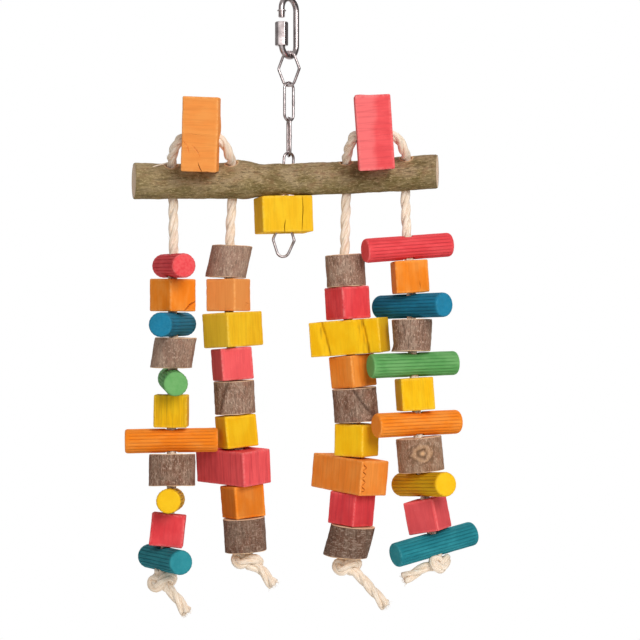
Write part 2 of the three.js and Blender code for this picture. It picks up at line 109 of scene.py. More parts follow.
# Shader maths on sockets
class Feed:
    def __init__(self, tree, socket):
        self.tree = tree
        self.socket = socket

    def reckon(self, operation, first, second=0.0, clamp=False):
        node = self.tree.nodes.new("ShaderNodeMath")
        node.operation = operation
        node.use_clamp = clamp
        for slot, value in zip(node.inputs, (first, second)):
            if isinstance(value, Feed):
                self.tree.links.new(value.socket, slot)
            else:
                slot.default_value = value
        return Feed(self.tree, node.outputs[0])

    def worked(operation, turned=False):
        def apply(self, other):
            return self.reckon(operation, other, self) if turned else self.reckon(operation, self, other)
        return apply

    __add__, __radd__ = worked("ADD"), worked("ADD", True)
    __sub__, __rsub__ = worked("SUBTRACT"), worked("SUBTRACT", True)
    __mul__, __rmul__ = worked("MULTIPLY"), worked("MULTIPLY", True)
    __pow__ = worked("POWER")

    def sine(self):
        return self.reckon("SINE", self)

    def held(self):
        return self.reckon("ADD", self, 0.0, clamp=True)  # kept from 0 to 1


class Bench:
    def __init__(self, tree):
        self.tree = tree

    def node(self, kind, settings=None, sockets=None, out=0):
        made = self.tree.nodes.new(kind)
        for key, value in (settings or {}).items():
            if key == "stops":
                ramp = made.color_ramp
                while len(ramp.elements) < len(value):
                    ramp.elements.new(0.5)
                for element, (place, colour) in zip(ramp.elements, value):
                    element.position = place
                    element.color = (*colour, 1)
            else:
                setattr(made, key, value)
        for key, value in (sockets or {}).items():
            if isinstance(value, Feed):
                self.tree.links.new(value.socket, made.inputs[key])
            else:
                made.inputs[key].default_value = value
        return Feed(self.tree, made.outputs[out])

    def spread(self, place, stretch):
        return self.node("ShaderNodeVectorMath", {"operation": "MULTIPLY"}, {0: place, 1: stretch})

    def cloud(self, place, scale, detail=3.0, rough=0.55):
        sockets = {"Vector": place, "Scale": scale, "Detail": detail, "Roughness": rough}
        return self.node("ShaderNodeTexNoise", None, sockets)

    def step(self, value, low, high):
        sockets = {"Value": value, "From Min": low, "From Max": high}
        return self.node("ShaderNodeMapRange", {"interpolation_type": "SMOOTHSTEP"}, sockets)

    def mix(self, share, first, second):
        sockets = {0: share, 6: first, 7: second}
        return self.node("ShaderNodeMix", {"data_type": "RGBA"}, sockets, 2)

    def split(self, vector):
        made = self.tree.nodes.new("ShaderNodeSeparateXYZ")
        self.tree.links.new(vector.socket, made.inputs[0])
        return [Feed(self.tree, out) for out in made.outputs]

    def relief(self, height, strength, reach):
        sockets = {"Height": height, "Strength": strength, "Distance": reach * mm}
        return self.node("ShaderNodeBump", None, sockets)


class Finish(Bench):
    def __init__(self, name, **constants):
        self.material = bpy.data.materials.new(name)
        self.material.use_nodes = True
        super().__init__(self.material.node_tree)
        self.shader = self.tree.nodes["Principled BSDF"]
        for key, value in constants.items():
            self.shader.inputs[key.replace("_", " ")].default_value = value

    def feed(self, socket, value):
        self.tree.links.new(value.socket, self.shader.inputs[socket])

    def wash(self, share, code):
        self.colour = self.mix(share, self.colour, solid(code))

    def own(self, name, out):
        return self.node("ShaderNodeAttribute", {"attribute_name": name}, None, out)


def tint(code):
    parts = [int(code[i : i + 2], 16) / 255 for i in (0, 2, 4)]
    return tuple(p / 12.92 if p <= 0.04045 else ((p + 0.055) / 1.055) ** 2.4 for p in parts)


def solid(code):
    return (*tint(code), 1)


# Studio: white all round, a large soft lamp at the front right and a weaker one at the left
studio = {
    "floorDrop": 640.0,
    "floorRadius": 860.0,
    "floorTones": ("F4F4F2", "FAFAF8"),
    "ambient": 0.36,
    "lamps": [
        {"name": "key", "at": (600, -1420, 450), "size": 800, "watts": 21.5},
        {"name": "fill", "at": (-1000, -1200, 150), "size": 1100, "watts": 1.6},
        {"name": "lift", "at": (150, 900, 700), "size": 900, "watts": 8.0},
    ],
    "aim": (0, 0, -210),
}


def lightStudio():
    for lamp in studio["lamps"]:
        data = bpy.data.lights.new(lamp["name"], "AREA")
        data.size = lamp["size"] * mm
        data.energy = lamp["watts"]
        made = bpy.data.objects.new(lamp["name"], data)
        made.location = Vector(lamp["at"]) * mm
        towards = Vector(studio["aim"]) * mm - made.location
        made.rotation_euler = towards.to_track_quat("-Z", "Y").to_euler()
        scene.collection.objects.link(made)
    world = bpy.data.worlds.new("studio")
    world.use_nodes = True
    scene.world = world
    bench = Bench(world.node_tree)
    ray = "ShaderNodeLightPath"
    seen = bench.node(ray, None, None, "Is Camera Ray") + bench.node(ray, None, None, "Is Transmission Ray")
    glossy = bench.node(ray, None, None, "Is Glossy Ray")
    look = bench.node("ShaderNodeTexCoord", None, None, "Generated")
    right, back, up = bench.split(look)
    # metal sees the white backdrop, a bright front and ceiling, and dark sides of the room
    mirrored = (bench.step(back, 0.5, 0.9) + bench.step(0 - back, 0.55, 0.9) * 0.85
                + bench.step(up, 0.3, 0.9) * 0.45 + bench.step(0 - right, 0.6, 0.95) * 0.2 + 0.13).held()
    level = (seen + glossy * mirrored + (1 - (seen + glossy).held()) * studio["ambient"]).held()
    background = world.node_tree.nodes["Background"]
    background.inputs["Color"].default_value = (1, 1, 1, 1)
    bench.tree.links.new(level.socket, background.inputs["Strength"])
    bm = bmesh.new()
    bmesh.ops.create_circle(bm, cap_ends=True, segments=96, radius=studio["floorRadius"])
    bmesh.ops.translate(bm, vec=(0, 0, -studio["floorDrop"]), verts=bm.verts)
    floor = addObject("floor", bm)
    paint = Finish("paleFloor", Roughness=0.9)
    speck = paint.cloud(paint.node("ShaderNodeTexCoord", None, None, "Object"), 60.0)
    paint.feed("Base Color", paint.mix(speck, *(solid(tone) for tone in studio["floorTones"])))
    floor.data.materials.append(paint.material)


# Making objects from millimetre meshes
def addObject(name, bm):
    bmesh.ops.scale(bm, vec=(mm, mm, mm), verts=bm.verts)
    mesh = bpy.data.meshes.new(name)
    bm.to_mesh(mesh)
    bm.free()
    made = bpy.data.objects.new(name, mesh)
    scene.collection.objects.link(made)
    return made


# bending wire leaves its corners in an order that changes from run to run
def settle(bm, way=Vector((0.81, 0.49, 0.33))):
    bm.verts.sort(key=lambda v: v.co.dot(way))
    bm.edges.sort(key=lambda e: (e.verts[0].co + e.verts[1].co).dot(way))
    bm.faces.sort(key=lambda f: f.calc_center_median().dot(way))


def carve(made, cutter, operation="DIFFERENCE"):
    bmesh.ops.recalc_face_normals(cutter, faces=cutter.faces[:])
    tool = addObject("cutter", cutter)
    cut = made.modifiers.new("cut", "BOOLEAN")
    cut.operation = operation
    cut.solver = "EXACT"
    cut.object = tool
    graph = bpy.context.evaluated_depsgraph_get()
    whole = bpy.data.meshes.new_from_object(made.evaluated_get(graph))
    made.modifiers.clear()
    spare = [made.data, tool.data]
    made.data = whole
    bpy.data.objects.remove(tool)
    for mesh in spare:
        bpy.data.meshes.remove(mesh)


def boreTool(radius, place, along, reach=60.0):
    bm = bmesh.new()
    bmesh.ops.create_cone(bm, cap_ends=True, segments=28, radius1=radius, radius2=radius, depth=2 * reach)
    bm.transform(Matrix.Translation(place) @ along.to_track_quat("Z", "Y").to_matrix().to_4x4())
    return bm


def smoothOver(made, angle):
    made.data.shade_smooth()
    made.data.set_sharp_from_angle(angle=math.radians(angle))


def stand(made, node, body, slot, *finishes):
    if not made.data.materials:
        for finish in finishes:
            made.data.materials.append(finish.material)
    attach(made, body)
    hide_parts(node)


# A bead's own frame: origin on its bore, Z along the bore, X along its long side
def seatOf(node, folds=2):
    up = Vector(jointTo[node]["axis"]).normalized()
    place = placeOf(node)
    points = [v.co / mm - place for v in nodes[node].data.vertices]
    across = Vector((1, 0, 0)) - up * up.x if abs(up.x) < 0.9 else Vector((0, 0, 1)) - up * up.z
    across.normalize()
    beside = up.cross(across)
    total = sum(complex(p.dot(across), p.dot(beside)) ** folds for p in points)
    angle = cmath.phase(total) / folds - (math.pi / 4 if folds == 4 else 0)
    long = spoke(across, beside, angle)
    seat = Matrix((long, up.cross(long), up)).transposed().to_4x4()
    seat.translation = place
    inside = [seat.inverted() @ (p + place) for p in points]
    low = Vector(min(p[i] for p in inside) for i in range(3))
    high = Vector(max(p[i] for p in inside) for i in range(3))
    return seat, low, high, inside


def addValues(mesh, *names):
    kinds = {"grain": ("FLOAT_VECTOR", "POINT"), "endGrain": ("FLOAT", "FACE")}
    for name in names:
        mesh.attributes.new(name, *kinds.get(name, ("FLOAT", "POINT")))
    return [mesh.attributes[name].data for name in names]  # fetched once all are made


# How bleached dye varies from piece to piece, and its soft, ragged edge across a piece
fading = {"vary": 0.08, "soft": 3, "ragged": 0.8, "patch": 9}


def markWood(made, seat, grain, worn, seed, streaks, faded, leftFaded=0.0, tone=0.0):
    draw = random.Random(seed)
    shift = Vector((draw.uniform(0, 400), draw.uniform(0, 400), draw.uniform(0, 400)))
    back = seat.inverted()
    mesh = made.data
    order = {"X": (1, 2, 0), "Z": (0, 1, 2)}[grain]
    places = [back @ (v.co / mm) for v in mesh.vertices]
    names = ("grain", "worn", "streaks", "faded", "endGrain")
    grainAt, wearAndShadeAt, streaksAt, fadedAt, endAt = addValues(mesh, *names)
    streaksAt.foreach_set("value", [streaks] * len(places))
    faded += draw.uniform(-fading["vary"], fading["vary"])
    acrossView = (seat.to_3x3().inverted() @ Vector((1, 0, 0))).normalized()
    fade = []
    for p in places:
        leftShare = 0.5 - p.dot(acrossView) / fading["soft"]
        leftShare += fading["ragged"] * noise.noise(p / fading["patch"] + shift)
        fade.append(max(0.0, faded + leftFaded * clamp(leftShare)))
    fadedAt.foreach_set("value", fade)
    for i, p in enumerate(places):
        grainAt[i].vector = Vector(p[k] for k in order) + shift
        # above zero is pale wear; below zero is painted shade in hollows, or a darker piece
        wearAndShadeAt[i].value = worn(p) + tone
    along = (seat.to_3x3() @ Vector((1, 0, 0) if grain == "X" else (0, 0, 1))).normalized()
    for i, face in enumerate(mesh.polygons):
        endAt[i].value = 1.0 if abs(face.normal.dot(along)) > 0.8 else 0.0


# Lines through given points
def smoothLine(points, step):
    ends = [Vector(p) for p in points]
    ends = [2 * ends[0] - ends[1], *ends, 2 * ends[-1] - ends[-2]]
    fine = []
    for a, b, c, d in zip(ends, ends[1:], ends[2:], ends[3:]):
        s = (b - a).length ** 0.5
        t = s + (c - b).length ** 0.5
        u = t + (d - c).length ** 0.5
        count = max(2, int((c - b).length / (step * 0.2)))
        for i in range(count):
            v = s + (t - s) * i / count
            e = a.lerp(b, v / s)
            f = b.lerp(c, (v - s) / (t - s))
            g = c.lerp(d, (v - t) / (u - t))
            fine.append(e.lerp(f, v / t).lerp(f.lerp(g, (v - s) / (u - s)), (v - s) / (t - s)))
    fine.append(ends[-2])
    lengths = [0.0]
    for a, b in zip(fine, fine[1:]):
        lengths.append(lengths[-1] + (b - a).length)
    count = max(2, round(lengths[-1] / step))
    line = []
    k = 0
    for i in range(count + 1):
        goal = lengths[-1] * i / count
        while k + 2 < len(fine) and lengths[k + 1] < goal:
            k += 1
        line.append(fine[k].lerp(fine[k + 1], (goal - lengths[k]) / max(lengths[k + 1] - lengths[k], 1e-9)))
    return line


def lengthOf(line):
    return sum((b - a).length for a, b in zip(line, line[1:]))


def framesAlong(line):
    ahead = [(b - a).normalized() for a, b in zip(line, line[1:])]
    ahead.append(ahead[-1])
    side = ahead[0].cross(Vector((0, 1, 0))).normalized()
    frames = []
    for place, onward in zip(line, ahead):
        side = (side - onward * side.dot(onward)).normalized()
        frames.append((place, side, onward.cross(side)))
    return frames


# Sheets rolled into tubes, for strands, fibres, wire, reeded rods and bark
def roll(bm, rings, sides, place, loop=False):
    made = bmesh.ops.create_grid(bm, x_segments=rings, y_segments=sides, size=1)["verts"]
    for vert in made:
        i = round((vert.co.x + 1) / 2 * rings)
        k = round((vert.co.y + 1) / 2 * sides)
        vert.co = place(i % rings if loop else i, k % sides, vert)
    bmesh.ops.remove_doubles(bm, verts=made, dist=1e-4)


def closeEnds(bm):
    edges = [e for e in bm.edges if e.is_boundary]
    faces = bmesh.ops.holes_fill(bm, edges=edges, sides=0)["faces"]
    bmesh.ops.recalc_face_normals(bm, faces=bm.faces[:])
    return faces


def endRope(bm, name, finish):
    closeEnds(bm)
    made = addObject(name, bm)
    made.data.shade_smooth()
    made.data.materials.append(finish.material)
    return made


# Sisal rope of three strands, each of a few yarns
rope = {
    "dia": 6.0,
    "strand": 1.8,
    "offset": 1.44,
    "lay": 33.0,
    "yarns": 5,
    "yarnLay": -24.0,
    "yarnDepth": 0.06,
    "sides": 16,
    "step": 1.3,
    "wander": 0.1,
    "uneven": 0.05,
}


def sisal():
    finish = Finish("sisal", Roughness=0.88, Specular_IOR_Level=0.25)
    lay = finish.own("lay", 1)
    place = finish.node("ShaderNodeTexCoord", None, None, "Object")
    threads = finish.cloud(finish.spread(lay, (2.6, 2.6, 0.16)), 1.6, 4.0, 0.65)
    patches = finish.cloud(place, 130.0, 3.0)
    specks = finish.cloud(place, 900.0, 2.0)
    finish.colour = solid("DDC2A2")
    finish.wash(finish.step(threads, 0.3, 0.66), "F7EADB")
    finish.wash(finish.step(patches, 0.45, 0.75) * 0.35, "E9CDB2")
    finish.wash(finish.step(specks, 0.68, 0.8) * 0.3, "A98B68")
    finish.feed("Base Color", finish.colour)
    finish.feed("Normal", finish.relief(threads + specks * 0.2, 0.5, 0.3))
    return finish


def layRope(bm, line, seed=0, flare=None, thick=1.0):
    lay = bm.verts.layers.float_vector.get("lay") or bm.verts.layers.float_vector.new("lay")
    step = lengthOf(line) / (len(line) - 1)
    frames = framesAlong(line)
    start = random.Random(seed).random()
    for strand in range(3):
        core = []
        for i, (place, side, over) in enumerate(frames):
            turn = 2 * math.pi * (start + strand / 3 + i * step / rope["lay"])
            wide = flare(i * step) if flare else 1.0
            wander = 1 + rope["wander"] * noise.noise(Vector((i * step / 7, strand * 9.1, seed)))
            out = rope["offset"] * thick * wide * wander
            core.append(place + spoke(side, over, turn) * out)
        strandFrames = framesAlong(core)

        def yarnPoint(i, k, vert):
            place, side, over = strandFrames[i]
            twist = 2 * math.pi * i * step / rope["yarnLay"]
            angle = 2 * math.pi * k / rope["sides"]
            size = rope["strand"] * thick * (1 + rope["yarnDepth"] * math.cos(rope["yarns"] * angle + twist))
            size *= 1 + rope["uneven"] * noise.noise(Vector((i * step / 5, strand * 7.7, seed + 3)))
            turned = angle + twist / rope["yarns"]
            vert[lay] = Vector((math.cos(turned) + strand * 5, math.sin(turned) + seed, i * step))
            return place + spoke(side, over, angle) * size

        roll(bm, len(core) - 1, rope["sides"], yarnPoint)


def addFibre(bm, place, onward, bend, reach, thick):
    line = [place + onward * (reach * s) + bend * (reach * s * s) for s in (0, 0.35, 0.7, 1)]
    frames = framesAlong(line)

    def hairPoint(i, k, vert):
        at, side, over = frames[i]
        angle = 2 * math.pi * k / 3
        return at + spoke(side, over, angle) * thick * (1 - hair["thin"] * i)

    roll(bm, 3, 3, hairPoint)


# Loose fibres: where they stand out, how they bend, and how many there are
hair = {
    "root": 0.43,
    "lift": (0.15, 0.6),
    "bend": (-0.25, 0.15),
    "reach": (1.4, 3.6),
    "thick": (0.05, 0.09),
    "thin": 0.22,  # lost at each of three steps to the tip
    "onString": 90,
    "onArch": 70,
    "onKnot": 110,
}


def fuzz(bm, line, count, seed):
    draw = random.Random(seed)
    frames = framesAlong(line)
    for _ in range(count):
        i = draw.randrange(1, len(line) - 1)
        place, side, over = frames[i]
        onward = (line[i + 1] - line[i]).normalized() * draw.choice((-1, 1))
        angle = draw.uniform(0, 2 * math.pi)
        out = spoke(side, over, angle)
        start = place + out * rope["dia"] * hair["root"]
        lean = (onward + out * draw.uniform(*hair["lift"])).normalized()
        addFibre(bm, start, lean, out * draw.uniform(*hair["bend"]), draw.uniform(*hair["reach"]),
                 draw.uniform(*hair["thick"]))


# Strings: route from the hinge under the branch, then the knot's turn and its tail
holeLean = math.radians(25)
holeUp = Vector((0, -math.sin(holeLean), math.cos(holeLean)))
# rope above the hinge, where it begins and ends to bend, and how far down it is hairy
hinge = {"above": 13, "start": 5, "end": 11, "hairy": 40}
strings = {
    1: {
        "route": [(0, 0, 0), (0.6, -2.6, -18), (0.8, -4.2, -36), (0.2, -4.2, -62), (0.6, -4.2, -100),
                  (-0.6, -4.2, -138), (-0.5, -4.8, -160), (0, -6.2, -178), (-0.7, -7.8, -196),
                  (-2.6, -9.4, -215), (-5, -11.4, -238), (-7.4, -13.4, -260)],
        "last": "string_1_11_teal_dowel",
        "turn": -14,
        "tail": [(5.2, -1, -5.5), (10.4, -2, -11.5), (16, -2.4, -19.5)],
    },
    2: {
        "route": [(0, 0, 0), (-1.2, 2.6, -16), (-1.8, 4.2, -32), (-2.7, 4.2, -62), (-1.6, 4.2, -90),
                  (0.2, 4.2, -114), (1.8, 4.2, -142), (4.2, 4.2, -168), (6.6, 4.2, -196), (8.4, 4.2, -222),
                  (10, 4.2, -246)],
        "last": "string_2_09_bark_log",
        "turn": 10,
        "wide": 1.14,
        "tail": [(7.6, -1.2, -4.4), (13.4, -2, -10.6), (17.2, -2.2, -15.4)],
    },
    3: {
        "route": [(0, 0, 0), (-0.4, 2.6, -20), (-0.8, 4.2, -42), (0.6, 4.2, -66), (2.4, 4.2, -94),
                  (5, 4.2, -122), (6.8, 4.2, -146), (6.8, 4.2, -166), (5.2, 4.2, -188), (3.2, 4.2, -212),
                  (1.2, 4.2, -236), (0.2, 4.2, -258)],
        "last": "string_3_09_bark_log",
        "turn": -6,
        "tail": [(6, -1, -4.4), (14, -2, -12.6), (21, -2.4, -20.6), (25.4, -2.4, -25.4)],
    },
    4: {
        "route": [(0, 0, 0), (0.2, -2.6, -15), (0.8, -4.2, -30), (2.6, -4.2, -56), (4, -4.3, -80),
                  (4.6, -5.2, -106), (5.7, -5.6, -132), (7.8, -6.4, -156), (10.2, -7.2, -182),
                  (12.4, -8.2, -202), (15.4, -9.2, -218), (19.4, -10.2, -234), (23.8, -11.4, -252)],
        "last": "string_4_11_teal_dowel",
        "face": 62,
        "rise": 1.6,
        "tail": [(-7, -1.4, -1.4), (-14, -2.2, -5), (-22.5, -2.4, -9.6)],
    },
}
knot = {
    "drop": 6.4,  # middle of the knot under the last bead
    "points": [(0, 0.8, 8.5), (0.6, 2.2, 4), (1.2, 3.2, 0.2), (-0.8, 3.4, -2.6), (-4.6, 2.2, -1.8),
               (-6.9, -0.4, 0.8), (-4.6, -3, 2.6), (-0.4, -3.9, 0.6), (3.2, -3.4, -2.4), (6.2, -0.8, -1),
               (5.6, 2, 2.2),
               (2.6, 0.6, 3.2), (-0.6, -0.6, 1.2), (-1, -1, -2.6)],
    "thick": 1.07,  # rope swells where it is bent hard
    "fray": 8.0,  # length of tail that is coming undone
    "flare": 0.7,
    "clear": 3.5,  # the string's route ends this far above the knot's middle
    "tuft": {"count": 46, "wide": 3.2, "back": 1.5, "lean": 0.35, "bend": (-0.2, 0.4), "reach": (2, 4.2),
             "thick": (0.09, 0.16)},
}


def hangStrings(finish):
    for number, string in strings.items():
        body = f"string_{number}"
        pivot = placeOf(body)
        seat, low, high, _ = seatOf(string["last"])
        up = Vector(seat.col[2][:3])
        middle = seat.translation - up * ((high.z - low.z) / 2 + knot["drop"] - string.get("rise", 0))
        route = [pivot + Vector(p) for p in string["route"]]
        route = [p for p in route if p.z > middle.z + knot["clear"]] + [middle]
        inHole = [pivot + holeUp * hinge[key] for key in ("above", "start")]
        line = smoothLine(inHole + route, rope["step"])
        bm = bmesh.new()
        layRope(bm, line, number)
        fuzz(bm, [p for p in line if p.z > route[0].z - hinge["hairy"]], hair["onString"], number + 20)
        made = endRope(bm, f"string_{number}_sisal", finish)
        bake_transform(made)
        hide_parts(f"string_{number}_rope")
        tied = tieKnot(number, string, middle, finish)
        print("string", number, "rope", round(lengthOf(line)), "mm")


def tieKnot(number, string, middle, finish):
    turn = Matrix.Rotation(math.radians(string.get("turn", 0)), 4, "Y")
    turn = turn @ Matrix.Rotation(math.radians(string.get("face", 0)), 4, "Z")
    flip = Matrix.Diagonal((-string.get("wide", 1), 1, 1, 1))  # every knot is tied the same way round
    points = [middle + turn @ flip @ Vector(p) for p in knot["points"]]
    points += [middle + Vector(p) for p in string["tail"]]
    line = smoothLine(points, rope["step"])
    whole = lengthOf(line)
    bm = bmesh.new()

    def flare(gone):
        return 1 + knot["flare"] * max(0.0, 1 - (whole - gone) / knot["fray"]) ** 1.5

    layRope(bm, line, number + 40, flare, knot["thick"])
    fuzz(bm, line, hair["onKnot"], number + 60)
    draw = random.Random(number)
    onward = (line[-1] - line[-3]).normalized()
    tuft = knot["tuft"]
    for _ in range(tuft["count"]):
        out = Vector((draw.uniform(-1, 1), draw.uniform(-1, 1), draw.uniform(-1, 1)))
        out = (out - onward * out.dot(onward)).normalized() * draw.random() ** 0.5
        start = line[-1] + out * tuft["wide"] - onward * tuft["back"]
        addFibre(bm, start, (onward + out * tuft["lean"]).normalized(), out * draw.uniform(*tuft["bend"]),
                 draw.uniform(*tuft["reach"]), draw.uniform(*tuft["thick"]))
    tied = endRope(bm, f"string_{number}_knot", finish)
    stand(tied, f"string_{number}_rope", f"string_{number}", "rope", finish)
    return tied


# Arches over the branch: points of one leg outwards from the block, back and up from its bore
arches = {
    "left": {"strings": (1, 2), "radii": (11.571, 12.106)},
    "right": {"strings": (3, 4), "radii": (10.68, 11.034)},
    "face": 11.3,
    "leg": [(-6, 0, 0.1), (1, 0.2, -0.4), (3.8, 4.2, -4.2), (6, 10.6, -9.8)],
    "run": 7,
    "hingeDrop": 0.4,
}


def layArches(finish):
    for side in ("left", "right"):
        arch = arches[side]
        bore = placeOf(f"top_block_{side}")
        points = []
        for sign, number, radius in zip((-1, 1), arch["strings"], arch["radii"]):
            pivot = placeOf(f"string_{number}")
            axis = pivot + holeUp * (radius + arches["hingeDrop"])
            spread = (abs(axis.x - bore.x) - arches["face"]) / arches["run"]
            leg = [bore + Vector((sign * (arches["face"] + out * spread), back, rise))
                   for out, back, rise in arches["leg"]]
            leg += [axis + holeUp * radius, axis]
            points += leg[::-1] if sign < 0 else leg
        line = smoothLine(points, rope["step"])
        bm = bmesh.new()
        layRope(bm, line, 80 + len(side))
        fuzz(bm, line, hair["onArch"], 90 + len(side))
        made = endRope(bm, f"arch_{side}_sisal", finish)
        stand(made, f"rope_arch_{side}", "branch", "rope", finish)
        print("arch", side, round(lengthOf(line)), "mm")


# Dyed wood: dye and softer dye, bleached dye, darker dye in the grain, paler wood where rubbed, and a dark
# tone for pores, darker pieces and the painted shade in cracks and grooves
dyeColumns = ("dye", "soft", "faded", "deep", "pale", "dark")
dyes = {
    "orange": "EF821C F19136 E49A58 BC622A F8C27C 6E4324",
    "red": "DC3C42 E84C50 EF7070 A8303A F7A8A2 6E2630",
    "yellow": "EDB20C F1BE1A DDBA3A C08A14 F9DC70 6A4A1C",
    "blue": "1E6C88 1F7C9E 2A7490 164E66 4A9CB6 0F3644",
    "teal": "1F7782 2E8A94 358790 17545E 63A6AA 123C44",
    "green": "5A9C55 70AB66 7CAE70 37743C 9BC588 285429",
}
ringPitch = 1.5


def dyedWood(name, codes):
    dye = dict(zip(dyeColumns, codes.split()))
    finish = Finish(name, Specular_IOR_Level=0.08)
    grain = finish.own("grain", 1)
    worn = finish.own("worn", 2)
    streaks = finish.own("streaks", 2)
    faded = finish.own("faded", 2)
    ends = finish.own("endGrain", 2)
    across, beside, _ = finish.split(grain)
    sway = finish.cloud(finish.spread(grain, (0.1, 0.1, 0.014)), 1.0, 2.0)
    rings = ((across * 0.8 + beside * 0.6) * ringPitch + sway * 16).sine() * 0.5 + 0.5
    fibre = finish.cloud(finish.spread(grain, (1.2, 1.2, 0.06)), 1.0, 4.0, 0.62)
    pores = finish.cloud(finish.spread(grain, (3, 3, 0.3)), 1.0, 2.0)
    specks = finish.cloud(finish.spread(grain, (2, 2, 1.2)), 1.0, 2.0)
    blotch = finish.cloud(finish.spread(grain, (1, 1, 0.5)), 0.13, 3.0)
    rub = finish.cloud(grain, 0.6, 3.0)
    finish.colour = solid(dye["dye"])
    finish.wash(finish.step(blotch, 0.38, 0.66), dye["soft"])
    finish.wash(faded, dye["faded"])
    finish.wash(finish.step(fibre, 0.46, 0.72) * (streaks * 0.65 + 0.09), dye["deep"])
    finish.wash(rings ** 4 * streaks * 0.6, dye["deep"])
    finish.wash(finish.step(pores, 0.66, 0.8) * 0.13, dye["dark"])
    finish.wash(finish.step(specks, 0.66, 0.76) * 0.2, dye["pale"])
    finish.wash((worn * finish.step(rub, 0.36, 0.6) * 0.45).held(), dye["pale"])
    # below zero the dark dye is laid on: painted shade in cracks and dowel grooves, streaks with painted
    # shade in torn strips, and darker pieces
    finish.wash(((0 - worn) * 0.85).held(), dye["dark"])
    finish.wash(ends * 0.5, dye["soft"])
    finish.feed("Base Color", finish.colour)
    finish.feed("Roughness", 0.62 + fibre * 0.2)
    finish.feed("Normal", finish.relief(fibre * 0.6 + rings * streaks * 0.4 - pores * 0.3, 0.3, 0.22))
    return finish


# Bark of the logs and of the branch, and the pale wood where they are sawn
barkColumns = ("base", "grey", "dark", "red", "speck", "bare", "underOlive")
barks = {
    "log": {"codes": "86624F 957B69 46332A 8C5A47 CCB09C DDAE80", "flecks": (1.1, 1.1, 0.55)},
    "branch": {"codes": "86724D 9C8768 4C3F29 8A6048 BBA67C DDB48C 716938", "flecks": (0.95, 0.95, 0.42)},
}
sawnEnds = {"log": ("E6C09C", "B98B62"), "branch": ("F2D6BA", "C99F79")}
steels = {"link": ("A39796", 0.19), "chain": ("857B7A", 0.25)}


def barkFinish(name, bark):
    look = dict(zip(barkColumns, bark["codes"].split()))
    finish = Finish(name, Specular_IOR_Level=0.07)
    grain = finish.own("grain", 1)
    tone = finish.own("tone", 2)
    dashes = finish.own("dashes", 2)
    bare = finish.own("bare", 2)
    patches = finish.cloud(finish.spread(grain, (0.13, 0.13, 0.08)), 1.0, 4.0, 0.6)
    streaks = finish.cloud(finish.spread(grain, (0.9, 0.9, 0.1)), 1.0, 4.0, 0.68)
    warm = finish.cloud(finish.spread(grain, (0.2, 0.2, 0.12)), 1.3, 3.0)
    grit = finish.cloud(finish.spread(grain, bark["flecks"]), 1.0, 4.0, 0.72)
    lens = finish.cloud(finish.spread(grain, (0.3, 0.3, 1.5)), 1.0, 2.0)
    finish.colour = solid(look["base"])
    finish.wash(finish.step(patches, 0.38, 0.62), look["grey"])
    finish.wash(finish.step(warm, 0.5, 0.7) * 0.5, look["red"])
    if "underOlive" in look:
        # darker olive towards the underside of the branch
        low = finish.step(finish.split(grain)[1] + patches * 14, 9.0, -3.0)
        finish.wash(low * 0.5, look["underOlive"])
    finish.wash(finish.step(patches, 0.46, 0.3) * 0.45, look["dark"])
    finish.wash(finish.step(streaks, 0.48, 0.34) * 0.65, look["dark"])
    finish.wash(finish.step(streaks, 0.54, 0.68) * 0.35, look["speck"])
    finish.wash(finish.step(grit, 0.56, 0.61) * 0.7, look["speck"])
    finish.wash(finish.step(grit, 0.43, 0.37) * 0.7, look["dark"])
    finish.wash(finish.step(lens, 0.57, 0.62) * dashes, look["speck"])
    finish.wash((0 - tone).held(), look["dark"])
    finish.wash(tone.held(), look["speck"])
    finish.wash(bare.held(), look["bare"])
    finish.feed("Base Color", finish.colour)
    finish.feed("Roughness", 0.74 + grit * 0.22)
    finish.feed("Normal", finish.relief(streaks * 0.4 + grit * 0.7, 0.55, 0.5))
    return finish


def sawnWood(name, pale, dark):
    finish = Finish(name, Specular_IOR_Level=0.25)
    grain = finish.own("grain", 1)
    flat = finish.spread(grain, (1, 1, 0))
    out = finish.node("ShaderNodeVectorMath", {"operation": "LENGTH"}, {0: flat}, 1)
    sway = finish.cloud(flat, 0.3, 2.0)
    rings = (out * 4.2 + sway * 7).sine() * 0.5 + 0.5
    rays = finish.cloud(finish.spread(grain, (1.6, 1.6, 1)), 1.4, 4.0, 0.65)
    finish.colour = solid(pale)
    finish.wash(rings ** 2 * 0.5, dark)
    finish.wash(finish.step(rays, 0.5, 0.75) * 0.45, dark)
    finish.feed("Base Color", finish.colour)
    finish.feed("Roughness", 0.7 + rays * 0.2)
    finish.feed("Normal", finish.relief(rings * 0.4 + rays, 0.5, 0.3))
    return finish


def steelFinish(name, colour, rough):
    finish = Finish(name, Metallic=1.0)
    place = finish.node("ShaderNodeTexCoord", None, None, "Object")
    smear = finish.cloud(place, 260.0, 4.0)
    finish.feed("Base Color", finish.mix(finish.step(smear, 0.35, 0.7), solid(colour), solid("C2B7B6")))
    finish.feed("Roughness", rough + smear * 0.08)
    return finish


# Faces of a piece named by where they look, for cracks, bulges and chips
def faceOn(seat, low, high, towards):
    turn = seat.to_3x3()
    ways = [Vector(w) for w in ((1, 0, 0), (-1, 0, 0), (0, 1, 0), (0, -1, 0), (0, 0, 1), (0, 0, -1))]
    out = max(ways, key=lambda w: (turn @ w).dot(Vector(towards)))
    up = max((w for w in ways if abs(w.dot(out)) < 0.5), key=lambda w: (turn @ w).z)
    right = up.cross(out)
    half = (high - low) / 2
    reach = [sum(abs(w[i]) * half[i] for i in range(3)) for w in (right, up, out)]
    return (low + high) / 2 + out * reach[2], right * reach[0], up * reach[1], out


